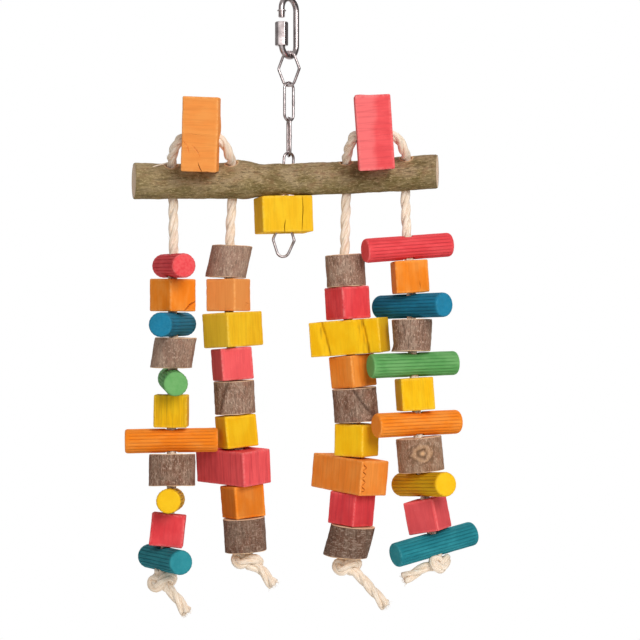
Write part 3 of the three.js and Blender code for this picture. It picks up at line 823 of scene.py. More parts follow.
def crackTool(seat, face, drawn, width, depth):
    centre, right, up, out = face
    line = smoothLine([centre + right * a + up * b for a, b in drawn], 0.7)
    frames = list(zip(line, line[1:] + [2 * line[-1] - line[-2]]))
    last = len(line) - 1

    def wedge(i, k, vert):
        place, ahead = frames[i]
        across = (ahead - place).cross(out).normalized()
        gaping = max(0.12, math.sin(math.pi * min(1.0, (i + 0.4) / (last + 0.8))) ** 0.6)
        jag = 0.25 * noise.noise(Vector((i * 0.9, width * 31, right.length)))
        place = place + across * jag
        if k == 2:
            return place - out * depth * gaping
        return place + out * 0.9 + across * width * gaping * (1 if k else -1)

    bm = bmesh.new()
    roll(bm, last, 3, wedge)
    closeEnds(bm)
    bm.transform(seat)
    return bm


def edgeWear(low, high, reach):
    def worn(p):
        gaps = sorted(min(p[i] - low[i], high[i] - p[i]) for i in range(3))
        return max(0.0, 1 - max(gaps[1], 0) / reach)
    return worn


# Sawn blocks. A mark lies on the face that looks its way, from -1 to 1 across and up it.
# A crack gives its face, line, width and depth, and a tone where it shows pale; without a tone it is painted
# dark inside, as painted shade.
blocks = {
    "edge": 0.9,
    "cell": 2.0,
    "warp": 0.2,
    "warpScale": 15,
    "chip": 0.6,
    "chipScale": 3.4,
    "wear": 1.5,
    "bore": 4.2,
    "chainBore": 6.65,
    "streaks": 0.1,
    "crackBelow": 0.32,  # deeper under a face than this is inside a crack
}
ahead, toRight, toLeft = (0, -1, 0), (1, -1, 0), (-1, -1, 0)
knotMark = ((0.7, 1), (0.5, -1), (0.3, 1), (0.08, -1), (-0.12, 1), (-0.34, -1), (-0.56, 1), (-0.74, -0.4))
blockMarks = {
    "string_1_02_orange_cube": {"cracks": [
        (toRight, [(1.06, -0.34), (0.62, -0.54), (0.3, -0.78), (-0.06, -1.06)], 0.95, 3),
        (toLeft, [(-0.3, -1.05), (-0.2, -0.84)], 0.3, 1.5),
        (toLeft, [(0.5, -0.84), (0.72, -0.8), (0.9, -0.9)], 0.24, 1.2)]},
    "string_1_06_yellow_cube": {"streaks": 0.85, "tone": -0.06},
    "string_2_02_orange_cube": {"faded": 0.7, "cracks": [
        (toRight, [(0.2, -0.44), (0.75, -0.56)], 0.25, 1.5),
        (toRight, [(0.1, -0.72), (0.5, -0.6)], 0.2, 1.2)]},
    "string_2_03_yellow_block": {"streaks": 0.3, "faded": 0.2, "leftFaded": 0.4},
    "string_2_04_red_cube": {"faded": 0.4},
    "string_2_06_yellow_cube": {"tone": -0.12},
    "string_2_07_red_long_block": {"warp": 0.05, "trim": 0.1, "streaks": 0.45, "faded": 0.45, "tone": -0.05},
    "string_2_08_orange_cube": {"streaks": 0.2, "tone": -0.32},
    "string_3_02_red_cube": {"streaks": 0.3},
    "string_3_03_yellow_long_block": {"cell": 0.8, "gouges": [
        {"face": (0.3, -1, 0), "line": [(-0.72, 1.02), (-0.52, -1.02)], "width": 6.4, "depth": 1.8},
        {"face": (0.3, -1, 0), "line": [(0.42, 1.02), (0.56, -1.02)], "width": 7.6, "depth": 2.4}]},
    "string_3_04_orange_cube": {"streaks": 0.3, "faded": 0.2},
    "string_3_07_orange_long_block": {"streaks": 0.25, "faded": 0.3, "cracks": [
        ((0.9, -1, 0), [(-0.92, up + 0.1 * lean), (-0.64, up - 0.1 * lean)], 0.75, 1.4)
        for up, lean in knotMark]},
    "string_3_08_red_cube": {"streaks": 0.35, "tone": -0.16},
    "string_4_02_orange_cube": {"streaks": 0.2, "tone": -0.06, "cracks": [
        (ahead, [(0.45, -0.75), (0.42, -0.3)], 0.22, 1.5)]},
    "string_4_06_yellow_cube": {"streaks": 0.3},
    "string_4_10_red_cube": {"faded": 0.3, "tone": -0.2},
    "centre_block": {"streaks": 0.2, "faded": 0.15, "cracks": [
        (ahead, [(0.58, 1.1), (0.6, 0.3), (0.56, -0.4), (0.52, -1.1)], 0.42, 3),
        (ahead, [(-0.14, -1.1), (-0.16, -0.75), (-0.1, -0.3)], 0.45, 2.4)]},
    "top_block_left": {"streaks": 0.2, "faded": 0.55, "cracks": [
        (ahead, [(0.24, -1.04), (0.02, -0.86), (-0.05, -0.75)], 0.4, 2.5),
        (ahead, [(-0.95, -0.16), (-0.7, -0.3), (-0.56, -0.52)], 0.9, 0.6, 2.4),
        (ahead, [(-0.4, -0.28), (-0.1, -0.46), (0.06, -0.6)], 0.9, 0.6, 2.4),
        (ahead, [(-0.7, 0.02), (0.1, -0.02), (0.7, 0.02)], 0.2, 0.4, 0.6)],
        "bulges": [{"face": (1, -0.3, 0), "at": (0, 0.2), "reach": 9, "rise": 1.2}]},
    "top_block_right": {"streaks": 0.2, "faded": 0.2, "leftFaded": 0.7,
        "bulges": [{"face": (0, -0.4, 1), "at": (-0.75, -0.6), "reach": 5, "rise": 1.0}]},
}


# how deep a torn-out strip is at a place, ramping down to its right and stepping back up
def gougeAt(p, face, gouge, seed):
    centre, right, up, out = face
    (a, b), (c, d) = gouge["line"]
    level = (p - centre).dot(up) / up.length_squared
    middle = a + (c - a) * (level - b) / (d - b)
    beside = (p - centre).dot(right) / right.length - middle * right.length
    beside += 0.5 * noise.noise(Vector((level * 2, seed % 17, 0)))
    across = beside / gouge["width"] + 0.5
    if not 0 < across < 1 or (p - centre).dot(out) < -6:
        return 0.0
    return across ** 1.2 if across < 0.82 else (1 - across) / 0.18 * 0.79


def sawBlock(node, finish, slot, square):
    seat, low, high, _ = seatOf(node, 4 if square else 2)
    size = high - low
    middle = (low + high) / 2
    seed = seedOf(node, 3)
    shift = Vector((seed % 97, seed % 89, seed % 83))
    marks = blockMarks.get(node, {})
    size -= Vector((2, 2, 2)) * marks.get("trim", 0.0)  # leaves the next string room to turn
    bore = blocks["chainBore"] if node == "centre_block" else blocks["bore"]
    bm = bmesh.new()
    bmesh.ops.create_cube(bm, size=1)
    bmesh.ops.scale(bm, vec=size, verts=bm.verts)
    for axis in range(3):
        way = Vector((axis == 0, axis == 1, axis == 2))
        count = max(5, round(size[axis] / marks.get("cell", blocks["cell"])))
        for i in range(1, count):
            everything = bm.verts[:] + bm.edges[:] + bm.faces[:]
            level = way * size[axis] * (i / count - 0.5)
            bmesh.ops.bisect_plane(bm, geom=everything, plane_co=level, plane_no=way)
    corners = [e for e in bm.edges if e.calc_face_angle(0) > 0.7]
    rounded = min(blocks["edge"], marks.get("cell", blocks["cell"]) * 0.9)
    bmesh.ops.bevel(bm, geom=corners, offset=rounded, offset_type="OFFSET", segments=3, profile=0.5,
                    affect="EDGES", material=-1, clamp_overlap=True)
    bulges = [(faceOn(seat, low, high, b["face"]), b) for b in marks.get("bulges", ())]
    gouges = [(faceOn(seat, low, high, g["face"]), g) for g in marks.get("gouges", ())]
    edges = edgeWear(low, high, blocks["wear"])
    for vert in bm.verts:
        p = vert.co + middle
        away = vert.co.normalized()
        moved = noise.noise_vector(p / blocks["warpScale"] + shift) * marks.get("warp", blocks["warp"])
        rough = max(0.0, noise.noise(p / blocks["chipScale"] + shift) - 0.05)
        moved -= away * edges(p) * rough * blocks["chip"]
        for (centre, right, up, out), bulge in bulges:
            spot = centre + right * bulge["at"][0] + up * bulge["at"][1]
            moved += out * bulge["rise"] * bell((p - spot).length, bulge["reach"])
        for face, gouge in gouges:
            if (p - face[0]).dot(face[3]) > -1.2:
                moved -= face[3] * gouge["depth"] * gougeAt(p, face, gouge, seed)
        vert.co = p + moved
    bm.transform(seat)
    made = addObject(node + "_sawn", bm)
    carve(made, boreTool(bore, seat.translation, Vector(jointTo[node]["axis"])))
    cracks = []
    for looking, drawn, width, depth, *tone in marks.get("cracks", ()):
        face = faceOn(seat, low, high, looking)
        carve(made, crackTool(seat, face, drawn, width, depth))
        spots = [face[0] + face[1] * a + face[2] * b for a, b in drawn]
        # a crack without its own tone gets -1: painted shade inside it
        cracks.append((spots, tone[0] if tone else -1))
    smoothOver(made, 38)

    # edges are rubbed pale; cracks are painted dark inside as painted shade unless they have a pale tone;
    # torn strips get dark streaks that grow darker with depth, partly streaks in the wood and partly painted
    # shade
    def worn(p):
        deep = max((gougeAt(p, face, gouge, seed) for face, gouge in gouges), default=0.0)
        # dark streak lines, darker where the strip is deeper: streaks in the wood with painted shade
        if deep > 0.25:
            return -deep * max(0.0, noise.noise(Vector((p.x * 1.3, p.y * 1.3, p.z / 9)) + shift) * 1.6 + 0.2)
        inside = min(min(p[i] - low[i], high[i] - p[i]) for i in range(3))
        if inside > blocks["crackBelow"] and math.hypot(p.x, p.y) > bore + 0.3 and cracks:
            return min(cracks, key=lambda c: min((p - spot).length for spot in c[0]))[1]
        return edges(p)

    looks = {key: marks.get(key, 0.0) for key in ("faded", "leftFaded", "tone")}
    markWood(made, seat, "Z", worn, seed, marks.get("streaks", blocks["streaks"]), **looks)
    stand(made, node, node, slot, finish)


# Reeded dowels with rounded ends, bored across
dowels = {
    "reeds": 20,
    "perReed": 8,
    "groove": 0.46,
    "uneven": 0.1,
    "round": 1.3,
    "run": 2.3,  # length of the rounding
    "fade": 4,  # reeds fade in over this length
    "rings": [0.0, 0.12, 0.3, 0.55, 0.85, 1.2, 1.7, 2.3, 3.2, 4.2],  # from each end
    "between": 13,
    "capRings": (1.5, 1.7, 1.8),
    "capDepth": (-0.08, 0.05),
    "bore": 4.2,
    "tones": {"string_1_01_red_dowel": 0.1, "string_1_09_yellow_dowel": -0.3,
              "string_4_09_yellow_dowel": -0.24, "string_1_11_teal_dowel": -0.15,
              "string_4_05_green_dowel": -0.08},
}


def reedDowel(node, finish, slot):
    seat, low, high, _ = seatOf(node)
    radius = (high.y - low.y) / 2
    middle = (low + high) / 2
    length = high.x - low.x
    rings, between = dowels["rings"], dowels["between"]
    inner = [rings[-1] + (length - 2 * rings[-1]) * i / between for i in range(1, between)]
    runs = rings + inner + [length - r for r in rings[::-1]]
    seed = seedOf(node, 5)
    sides = dowels["reeds"] * dowels["perReed"]

    def reedPoint(i, k, vert):
        run = runs[i]
        phase = (k / dowels["perReed"] + 0.5) % 1 - 0.5
        angle = 2 * math.pi * k / sides
        inward = min(run, length - run)
        begun = min(1.0, inward / dowels["fade"])
        size = radius - dowels["groove"] * begun * (2 * abs(phase)) ** 4
        size -= dowels["uneven"] * begun * (0.5 + noise.noise(Vector((run / 8, k * 0.11, seed % 71))))
        left = max(0.0, 1 - inward / dowels["run"])
        size -= dowels["round"] * (1 - math.sqrt(1 - left * left))
        return Vector((low.x + run, middle.y + size * math.cos(angle), middle.z + size * math.sin(angle)))

    bm = bmesh.new()
    roll(bm, len(runs) - 1, sides, reedPoint)
    caps = closeEnds(bm)
    hollow = random.Random(seed).uniform(*dowels["capDepth"])
    for inset in dowels["capRings"]:
        bmesh.ops.inset_individual(bm, faces=caps, thickness=inset, depth=hollow)
    bm.transform(seat)
    made = addObject(node + "_reeded", bm)
    carve(made, boreTool(dowels["bore"], seat.translation, Vector(jointTo[node]["axis"])))
    smoothOver(made, 42)

    # painted shade darkens the grooves, and the dye is rubbed off the rounded ends
    def worn(p):
        run = min(p.x - low.x, high.x - p.x)
        if run > 1.2:
            turn = math.atan2(p.z - middle.z, p.y - middle.y) / (2 * math.pi) * dowels["reeds"]
            return -0.42 * min(1.0, run / dowels["fade"]) * (2 * abs((turn + 0.5) % 1 - 0.5)) ** 4
        return max(0.0, 1 - abs(run - 0.4) / 0.8) * 0.7

    markWood(made, seat, "X", worn, seed, 0.1, 0.05, tone=dowels["tones"].get(node, 0.0))
    stand(made, node, node, slot, finish)


# Logs: outline of the solid, bark relief, and sawn ends inside a rim of bark
logs = {
    "sides": 90,
    "ring": 0.9,
    "lip": 0.4,
    "relief": 0.42,
    "waves": [(2.6, 2.6, 7, 0.5), (1.2, 1.2, 2.4, 0.4), (7, 7, 11, 0.6)],  # lengths each way and height
    "round": 0.3,
    "bore": 4.2,
    "sawnRings": [1 - 1.5 / 13, 0.62, 0.32, 0.0],  # share of the way from the bore to the bark
    "dish": 0.14,
    "flake": 0.8,
}
logMarks = {
    "string_1_04_bark_log": {"shear": 1.5, "tone": 0.18},
    "string_1_08_bark_log": {"tone": -0.1},
    "string_2_01_bark_log": {"shear": 1.8, "tone": 0.22},
    "string_2_05_bark_log": {"tone": 0.06, "step": [(-0.1, 1.1), (-0.42, 0.2), (-0.7, -1.1)]},
    "string_2_09_bark_log": {"tone": -0.36, "dashes": 0.4},
    "string_3_01_bark_log": {"tone": 0.1},
    "string_3_05_bark_log": {"seam": [(-0.12, 1.0), (0.3, 0.1), (0.8, -0.75)], "tone": -0.12},
    "string_3_09_bark_log": {"shear": 1.9, "tone": -0.55, "dashes": 1.0},
    "string_4_04_bark_log": {"taper": 1.4, "flare": [{"at": (-0.9, 0.4), "rise": 2.2}], "tone": 0.06},
    "string_4_08_bark_log": {"scar": {"face": (0.04, -1, 0), "up": 0.1, "size": 6.6}, "gold": 0.14},
}


# distance from a place on the near side, across and up from -1 to 1, to a drawn line
def gapTo(line, across, along):
    best = 9.0
    for (a, b), (c, d) in zip(line, line[1:]):
        t = ((across - a) * (c - a) + (along - b) * (d - b)) / ((c - a) ** 2 + (d - b) ** 2)
        t = clamp(t)
        best = min(best, math.hypot(across - a - (c - a) * t, along - b - (d - b) * t))
    return best


def outlineOf(points):
    widest = {}
    for p in points:
        key = round(math.atan2(p.y, p.x) * 60)
        widest[key] = max(widest.get(key, 0.0), math.hypot(p.x, p.y))
    limit = 0.86 * max(widest.values())
    spots = [(key / 60, size) for key, size in sorted(widest.items()) if size > limit]
    spots = [(spots[-1][0] - 2 * math.pi, spots[-1][1]), *spots, (spots[0][0] + 2 * math.pi, spots[0][1])]

    def radius(angle):
        angle = (angle + math.pi) % (2 * math.pi) - math.pi
        for (a, r), (b, s) in zip(spots, spots[1:]):
            if a <= angle <= b:
                return r + (s - r) * (angle - a) / max(b - a, 1e-6)
        return spots[0][1]

    return radius


def sawLog(node, finish, endFinish, slot):
    seat, low, high, inside = seatOf(node)
    radius = outlineOf(inside)
    height = high.z - low.z
    seed = seedOf(node, 7)
    marks = logMarks.get(node, {})
    rows = max(12, round(height / logs["ring"])) + 2
    sides = logs["sides"]
    toward = seat.to_3x3().inverted()
    right, front = toward @ Vector((1, 0, 0)), toward @ Vector((0, -1, 0))
    shift = Vector((seed % 61, seed % 53, seed % 47))

    def scarAt(way, size, z):
        scar = marks["scar"]
        look = (toward @ Vector(scar["face"])).normalized()
        if way.dot(look) < 0.3:
            return 9.0
        beside = way.dot(Vector((0, 0, 1)).cross(look)) * size
        above = z - (low.z + high.z) / 2 - scar["up"] * height / 2
        ragged = 1 + 0.34 * noise.noise(Vector((beside / 2.6, above / 2.6, seed % 19)))
        return math.hypot(beside, above * 1.15) / scar["size"] * ragged

    def levelOf(i):
        if i in (0, rows):
            return 0.0 if i == 0 else 1.0
        lip = logs["lip"] / height
        return lip + (1 - 2 * lip) * (i - 1) / (rows - 2)

    def barkPoint(i, angle):
        share = levelOf(i)
        way = Vector((math.cos(angle), math.sin(angle), 0))
        z = low.z + height * share
        size = radius(angle)
        p = way * size + Vector((0, 0, z)) + shift
        size += (ridgesAt(p, logs["waves"]) - 0.5) * logs["relief"]
        size += marks.get("taper", 0) * (share - 1)
        across, along = way.dot(right), 2 * share - 1
        for flare in marks.get("flare", ()):
            facing = way.dot((right * flare["at"][0] + front * flare["at"][1]).normalized())
            if facing > 0.4:
                size += flare["rise"] * (facing - 0.4) / 0.6 * max(0.0, 1 - share / 0.28) ** 1.5
        if way.dot(front) > 0:
            if "seam" in marks:
                gap = gapTo(marks["seam"], across, along)
                size += 0.4 * bell(gap - 0.1, 0.05) - 0.7 * bell(gap, 0.05)
            if "step" in marks:  # a flake of bark stands proud on the right of the line
                line = marks["step"]
                edge = next((a + (c - a) * (along - b) / (d - b) for (a, b), (c, d) in zip(line, line[1:])
                             if d <= along <= b), -9)
                gap = across - edge - 0.05 * noise.noise(Vector((along * 5, seed % 11, 0)))
                proud = clamp(gap / 0.06 + 0.5) * max(0.0, 1 - max(gap, 0) / 0.6)
                size += logs["flake"] * (proud - 0.25)
        if "scar" in marks:
            edge = scarAt(way, size, z)
            # a raised ring, a groove inside it and a low middle
            size += 0.9 * bell(edge - 0.9, 0.3) - 0.9 * bell(edge - 0.4, 0.13)
            size += 0.5 * bell(edge, 0.2)
        if i in (0, rows):
            size -= logs["round"]
            z += 0.25 * noise.noise(Vector((way.x * 2, way.y * 2, share * 3 + seed % 13)))
        drift = right * marks.get("shear", 0) * (2 * share - 1)
        return way * size + Vector((drift.x, drift.y, z))

    # once round: up the bark, in over the sawn end, down the bore and out over the other end
    sawn = logs["sawnRings"]
    total = rows + 1 + 2 * len(sawn)

    def logPoint(i, k, vert):
        angle = 2 * math.pi * k / sides
        vert[row] = i
        if i <= rows:
            return barkPoint(i, angle)
        step = i - rows - 1
        top = step < len(sawn)
        share = sawn[step] if top else sawn[len(sawn) - 1 - (step - len(sawn))]
        edge = barkPoint(rows if top else 0, angle)
        level = high.z if top else low.z
        bore = Vector((math.cos(angle) * logs["bore"], math.sin(angle) * logs["bore"], level))
        point = bore.lerp(edge, share)
        dish = logs["dish"] * (0.4 if step in (0, 2 * len(sawn) - 1) else 1)
        return point + Vector((0, 0, -dish if top else dish))

    bm = bmesh.new()
    row = bm.verts.layers.int.new("row")
    roll(bm, total, sides, logPoint, loop=True)
    bmesh.ops.recalc_face_normals(bm, faces=bm.faces[:])
    for face in bm.faces:
        barky = all(v[row] <= rows for v in face.verts) and any(1 < v[row] < rows - 1 for v in face.verts)
        face.material_index = 0 if barky else 1
    bm.transform(seat)
    made = addObject(node + "_log", bm)
    smoothOver(made, 50)
    # growth rings stay round the middle, so only the length is shifted
    back = seat.inverted()
    mesh = made.data
    grainAt, toneAt, dashesAt, bareAt = addValues(mesh, "grain", "tone", "dashes", "bare")
    dashesAt.foreach_set("value", [marks.get("dashes", 0.0)] * len(mesh.vertices))
    for i, vert in enumerate(mesh.vertices):
        p = back @ (vert.co / mm)
        grainAt[i].vector = p + Vector((0, 0, (seed % 37) * 20))
        tone, bare = marks.get("tone", 0.0), marks.get("gold", 0.0)
        way = Vector((p.x, p.y, 0)).normalized()
        across, along = way.dot(right), 2 * (p.z - low.z) / height - 1
        if way.dot(front) > 0:
            if "seam" in marks:
                tone -= 0.8 * bell(gapTo(marks["seam"], across, along), 0.05)
            # a dark line along the flake's edge is painted shade
            if "step" in marks:
                tone -= 0.55 * bell(gapTo(marks["step"], across, along), 0.08)
        if "scar" in marks:
            edge = scarAt(way, math.hypot(p.x, p.y), p.z)
            tone -= 1.2 * bell(edge - 0.4, 0.12) + 0.8 * bell(edge - 1.15, 0.1)
            tone += 0.6 * noise.noise(p / 0.9 + shift) * math.exp(-((edge / 1.1) ** 4))
            bare += bell(edge, 0.2) + 0.3 * bell(edge - 0.75, 0.2)
        toneAt[i].value, bareAt[i].value = tone, bare
    stand(made, node, node, slot, finish, endFinish)


# Chain of welded links; a diamond link first and last
chain = {
    "wire": 1.8,
    "yaws": [-12, 45, -77, 41, -80, 5],
    "lean": 3.6,  # of the links in the branch, downwards to the left
    "leanFrom": -100.3,
    "lowerTops": [2.1, -20.8, -43.7],
    "length": 25.0,
    "width": 8.0,
    "diamondLength": 22.0,
    "diamondWidth": 13.6,
    "diamondBow": 4.0,
    "diamondFlat": 1.0,
    "shoulder": 2.3,
    "weld": 0.16,  # share by which the wire swells at the weld
    "weldReach": 0.9,
}


# Branch: axis, rise and radius along it, with knots, dips and sawn ends
branch = {
    "back": -2.5,
    "height": -115.924,
    "stations": [(-100.6, -0.9, 11.9), (-80, -1.2, 11.6), (-50, -0.9, 11.6), (-31, -0.2, 12.1),
                 (-16, -0.1, 10.7), (0, 0, 10.6), (30, 1.1, 10.7), (60, 2.7, 10.9), (96.4, 5.2, 11.2)],
    "step": 0.95,
    "sides": 110,
    "relief": 0.42,
    "waves": [(9, 3, 3, 0.7), (3, 1.5, 1.5, 0.5), (16, 8, 8, 0.6)],
    "slant": (2.6, 1.6),  # how far the saw cuts run back at the left and the right end
    # along, degrees from the top towards the viewer, rise, reach
    "knots": [(-33.4, 4, 1.0, 2.4), (-30, 0, 0.6, 5), (-27, 175, 0.9, 5), (-17.5, 10, -0.6, 6),
              (-13, 180, 0.7, 6), (-3, 180, 0.35, 6), (-88, 60, 0.6, 4), (30, 80, 0.5, 4),
              (-55.3, 70, -0.5, 13), (56.8, 70, -0.6, 13),  # hollows that let the upright blocks tilt
              (70, -20, 0.7, 6), (-85, 120, 0.5, 6), (20, 140, 0.6, 5)],
    "slantRun": 9,
    "round": 0.4,
    "rim": 0.5,
    "capRings": (2.0, 2.4, 2.6),
    "darker": -0.0016,  # change of tone per millimetre to the right
    "bore": 4.2,
    "chainBore": 6.65,
}


def branchAt(x):
    stations = branch["stations"]
    k = 0
    while k + 2 < len(stations) and stations[k + 1][0] < x:
        k += 1
    ends = [stations[max(k - 1, 0)], stations[k], stations[k + 1], stations[min(k + 2, len(stations) - 1)]]
    t = (x - ends[1][0]) / (ends[2][0] - ends[1][0])
    values = []
    for i in (1, 2):
        a, b, c, d = (e[i] for e in ends)
        values.append(b + 0.5 * t * (c - a + t * (2 * a - 5 * b + 4 * c - d + t * (3 * (b - c) + d - a))))
    return values


def layBranch(finish, endFinish):
    first, last = branch["stations"][0][0], branch["stations"][-1][0]
    rows = round((last - first) / branch["step"])
    sides = branch["sides"]

    def barkPoint(i, k, vert):
        x = first + (last - first) * i / rows
        rise, size = branchAt(x)
        angle = 2 * math.pi * k / sides
        way = Vector((0, -math.sin(angle), math.cos(angle)))
        p = way * size + Vector((x, 0, 0))
        size += (ridgesAt(p, branch["waves"]) - 0.25) * branch["relief"]
        for along, degrees, lift, reach in branch["knots"]:
            turn = (math.degrees(angle) - degrees + 180) % 360 - 180
            gap = math.hypot((x - along) / reach, math.radians(turn) * size / reach)
            size += lift * bell(gap, 1)
        if i in (0, rows):
            size -= branch["round"]
        x += branch["slant"][0] * -way.y * max(0.0, 1 - (x - first) / branch["slantRun"])
        x -= branch["slant"][1] * -way.y * max(0.0, 1 - (last - x) / branch["slantRun"])
        centre = Vector((0, branch["back"], branch["height"] + rise))
        return Vector((x, 0, 0)) + centre + way * size

    bm = bmesh.new()
    roll(bm, rows, sides, barkPoint)
    caps = closeEnds(bm)
    bmesh.ops.inset_individual(bm, faces=caps, thickness=branch["rim"], depth=-0.1)
    for face in caps:
        face.material_index = 1
    for inset in branch["capRings"]:
        bmesh.ops.inset_individual(bm, faces=caps, thickness=inset, depth=0.03)
    made = addObject("branch_bark", bm)
    for each in (finish, endFinish):
        made.data.materials.append(each.material)
    lean = math.radians(chain["lean"])
    chainUp = Vector((math.sin(lean), 0, math.cos(lean)))
    chainHole = Vector((0, 0, chain["leanFrom"])) + chainUp * (branch["height"] - chain["leanFrom"])
    holes = [(chainHole, chainUp, branch["chainBore"])]
    for number in strings:
        holes.append((placeOf(f"string_{number}") + holeUp * 12, holeUp, branch["bore"]))
    for place, along, size in holes:
        carve(made, boreTool(size, place, along, 30))
    smoothOver(made, 50)
    mesh = made.data
    grainAt, toneAt, _, bareAt = addValues(mesh, "grain", "tone", "dashes", "bare")
    for i, vert in enumerate(mesh.vertices):
        p = vert.co / mm
        rise = branchAt(max(first, min(last, p.x)))[0]
        grainAt[i].vector = Vector((p.y - branch["back"], p.z - branch["height"] - rise, p.x + 300))
        # bark is torn to bare wood round the holes
        torn = min((p - place - along * (p - place).dot(along)).length - size for place, along, size in holes)
        bareAt[i].value = max(0.0, 1 - max(torn, 0) / (0.9 + 0.6 * noise.noise(p / 2)))
        toneAt[i].value = p.x * branch["darker"]
    stand(made, "branch_bar", "branch", "branch_bark", finish, endFinish)


# A loose strand of the left arch, pressed on the bark: along, degrees from the top, thickness
strand = {
    "stations": [(-77.5, 16, 0.75), (-80.5, 24, 0.7), (-84, 34, 0.55), (-87.4, 44, 0.3)],
    "rise": 0.3,
    "sides": 10,
    "step": 0.6,
}


def layStrand(finish):
    points = []
    for x, degrees, _ in strand["stations"]:
        rise, size = branchAt(x)
        angle = math.radians(degrees)
        out = size + strand["rise"]
        height = branch["height"] + rise + math.cos(angle) * out
        points.append(Vector((x, branch["back"] - math.sin(angle) * out, height)))
    line = smoothLine(points, strand["step"])
    frames = framesAlong(line)
    first, last = strand["stations"][0][2], strand["stations"][-1][2]
    bm = bmesh.new()
    lay = bm.verts.layers.float_vector.new("lay")

    def barePoint(i, k, vert):
        place, side, over = frames[i]
        angle = 2 * math.pi * k / strand["sides"]
        size = first + (last - first) * i / (len(line) - 1)
        size *= 1 + 0.2 * noise.noise(Vector((i * 0.3, k * 0.7, 4)))
        vert[lay] = Vector((math.cos(angle), math.sin(angle), i * strand["step"]))
        return place + spoke(side, over, angle) * size

    roll(bm, len(line) - 1, strand["sides"], barePoint)
    made = endRope(bm, "loose_strand", finish)
    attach(made, "branch")


# Steel wire bent by a run of straights and turns in its own plane
def bendWire(bm, radius, sides, start, heading, moves, closed):
    ring = bmesh.ops.create_circle(bm, segments=sides, radius=radius)["verts"]
    place = Vector((start[0], 0, start[1]))
    angle = math.radians(heading)  # from straight up, towards the left
    aim = Vector((-math.sin(angle), 0, math.cos(angle)))
    spot = Matrix.Translation(place) @ aim.to_track_quat("Z", "Y").to_matrix().to_4x4()
    bmesh.ops.transform(bm, matrix=spot, verts=ring)
    edges = list(dict.fromkeys(e for v in ring for e in v.link_edges))
    for move in moves:
        aim = Vector((-math.sin(angle), 0, math.cos(angle)))
        if move[0] == "run":
            for _ in range(move[2]):
                new = bmesh.ops.extrude_edge_only(bm, edges=edges)["geom"]
                edges = [g for g in new if isinstance(g, bmesh.types.BMEdge)
                         and all(v in new for v in g.verts)]
                moved = [g for g in new if isinstance(g, bmesh.types.BMVert)]
                bmesh.ops.translate(bm, vec=aim * move[1] / move[2], verts=moved)
            place = place + aim * move[1]
        else:
            turn = math.radians(move[1])
            left = Vector((-math.cos(angle), 0, -math.sin(angle)))
            centre = place + left * move[2] * (1 if turn > 0 else -1)
            last = bmesh.ops.spin(bm, geom=edges, cent=centre, axis=(0, -1, 0), angle=turn,
                                  steps=max(3, round(abs(move[1]) / 9)), use_duplicate=False)["geom_last"]
            edges = [g for g in last if isinstance(g, bmesh.types.BMEdge)]
            place = centre + Matrix.Rotation(-turn, 3, "Y") @ (place - centre)
            angle += turn
    if closed:
        bmesh.ops.remove_doubles(bm, verts=bm.verts, dist=0.02)
    bmesh.ops.recalc_face_normals(bm, faces=bm.faces[:])
    settle(bm)


def hangChain(finish):
    for i, yaw in enumerate(chain["yaws"]):
        node = f"chain_link_{i + 1}"
        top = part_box(node)[1][2] / mm - chain["wire"] / 2
        bm = bmesh.new()
        diamond = i in (0, len(chain["yaws"]) - 1)
        kind = ("diamondLength", "diamondWidth") if diamond else ("length", "width")
        length, width = (chain[key] for key in kind)
        if diamond:
            tip, shoulder = chain["diamondBow"], chain["shoulder"]
            half, rise = width / 2, (length - chain["diamondFlat"]) / 2 - tip
            slope = math.atan2(half, rise) - math.asin(tip / math.hypot(half, rise))
            side = (half - shoulder * (1 - math.cos(slope)) - tip * math.cos(slope)) / math.sin(slope)
            up = shoulder * math.sin(slope) + side * math.cos(slope) + tip * (1 - math.sin(slope))
            flat = length - 2 * up
            lean = math.degrees(slope)
            bent = [("turn", lean, shoulder), ("run", side, 4), ("turn", 180 - 2 * lean, tip),
                     ("run", side, 4), ("turn", lean, shoulder)]
            moves = [("run", flat, 2), *bent] * 2
            start = (half, -length / 2 - flat / 2)
        else:
            moves = [("turn", 180, width / 2), ("run", length - width, 8)] * 2
            start = (width / 2, -width / 2)
        bendWire(bm, chain["wire"] / 2, 16, start, 0, moves, True)
        # the weld: a slight swelling on one leg
        for vert in bm.verts:
            if vert.co.x > 0:
                swell = chain["weld"] * bell(vert.co.z + length / 2, chain["weldReach"])
                vert.co += (vert.co - Vector((width / 2, 0, vert.co.z))) * swell
        hung = Matrix.Translation((0, 0, top))
        if i >= 3:
            hung = Matrix.Rotation(math.radians(chain["lean"]), 4, "Y")
            hung = Matrix.Translation((0, 0, chain["leanFrom"])) @ hung
            hung = hung @ Matrix.Translation((0, 0, chain["lowerTops"][i - 3]))
        bm.transform(hung @ Matrix.Rotation(math.radians(yaw), 4, "Z"))
        made = addObject(node + "_wire", bm)
        smoothOver(made, 60)
        stand(made, node, f"link_{i + 1}" if i < 3 else "branch", "steel", finish)


# Quick link: wire, collar and thread, and its long nut turned down off the thread
quickLink = {
    "wire": 4.0,
    "spacing": 15.0,
    "yaw": 52,
    "topArc": -5.5,
    "bottomArc": -28.2,
    "threadEnd": -11.4,
    "threadDia": 4.6,
    "threadLength": 4.4,
    "threadDepth": 0.34,
    "pitch": 0.8,
    "collarDia": 5.8,
    "collarThick": 0.9,
    "stub": -18.4,
    "nutFlats": 7.5,
    "nutTop": -14.4,
    "nutBottom": -29.7,
    "nutBore": 2.55,
}


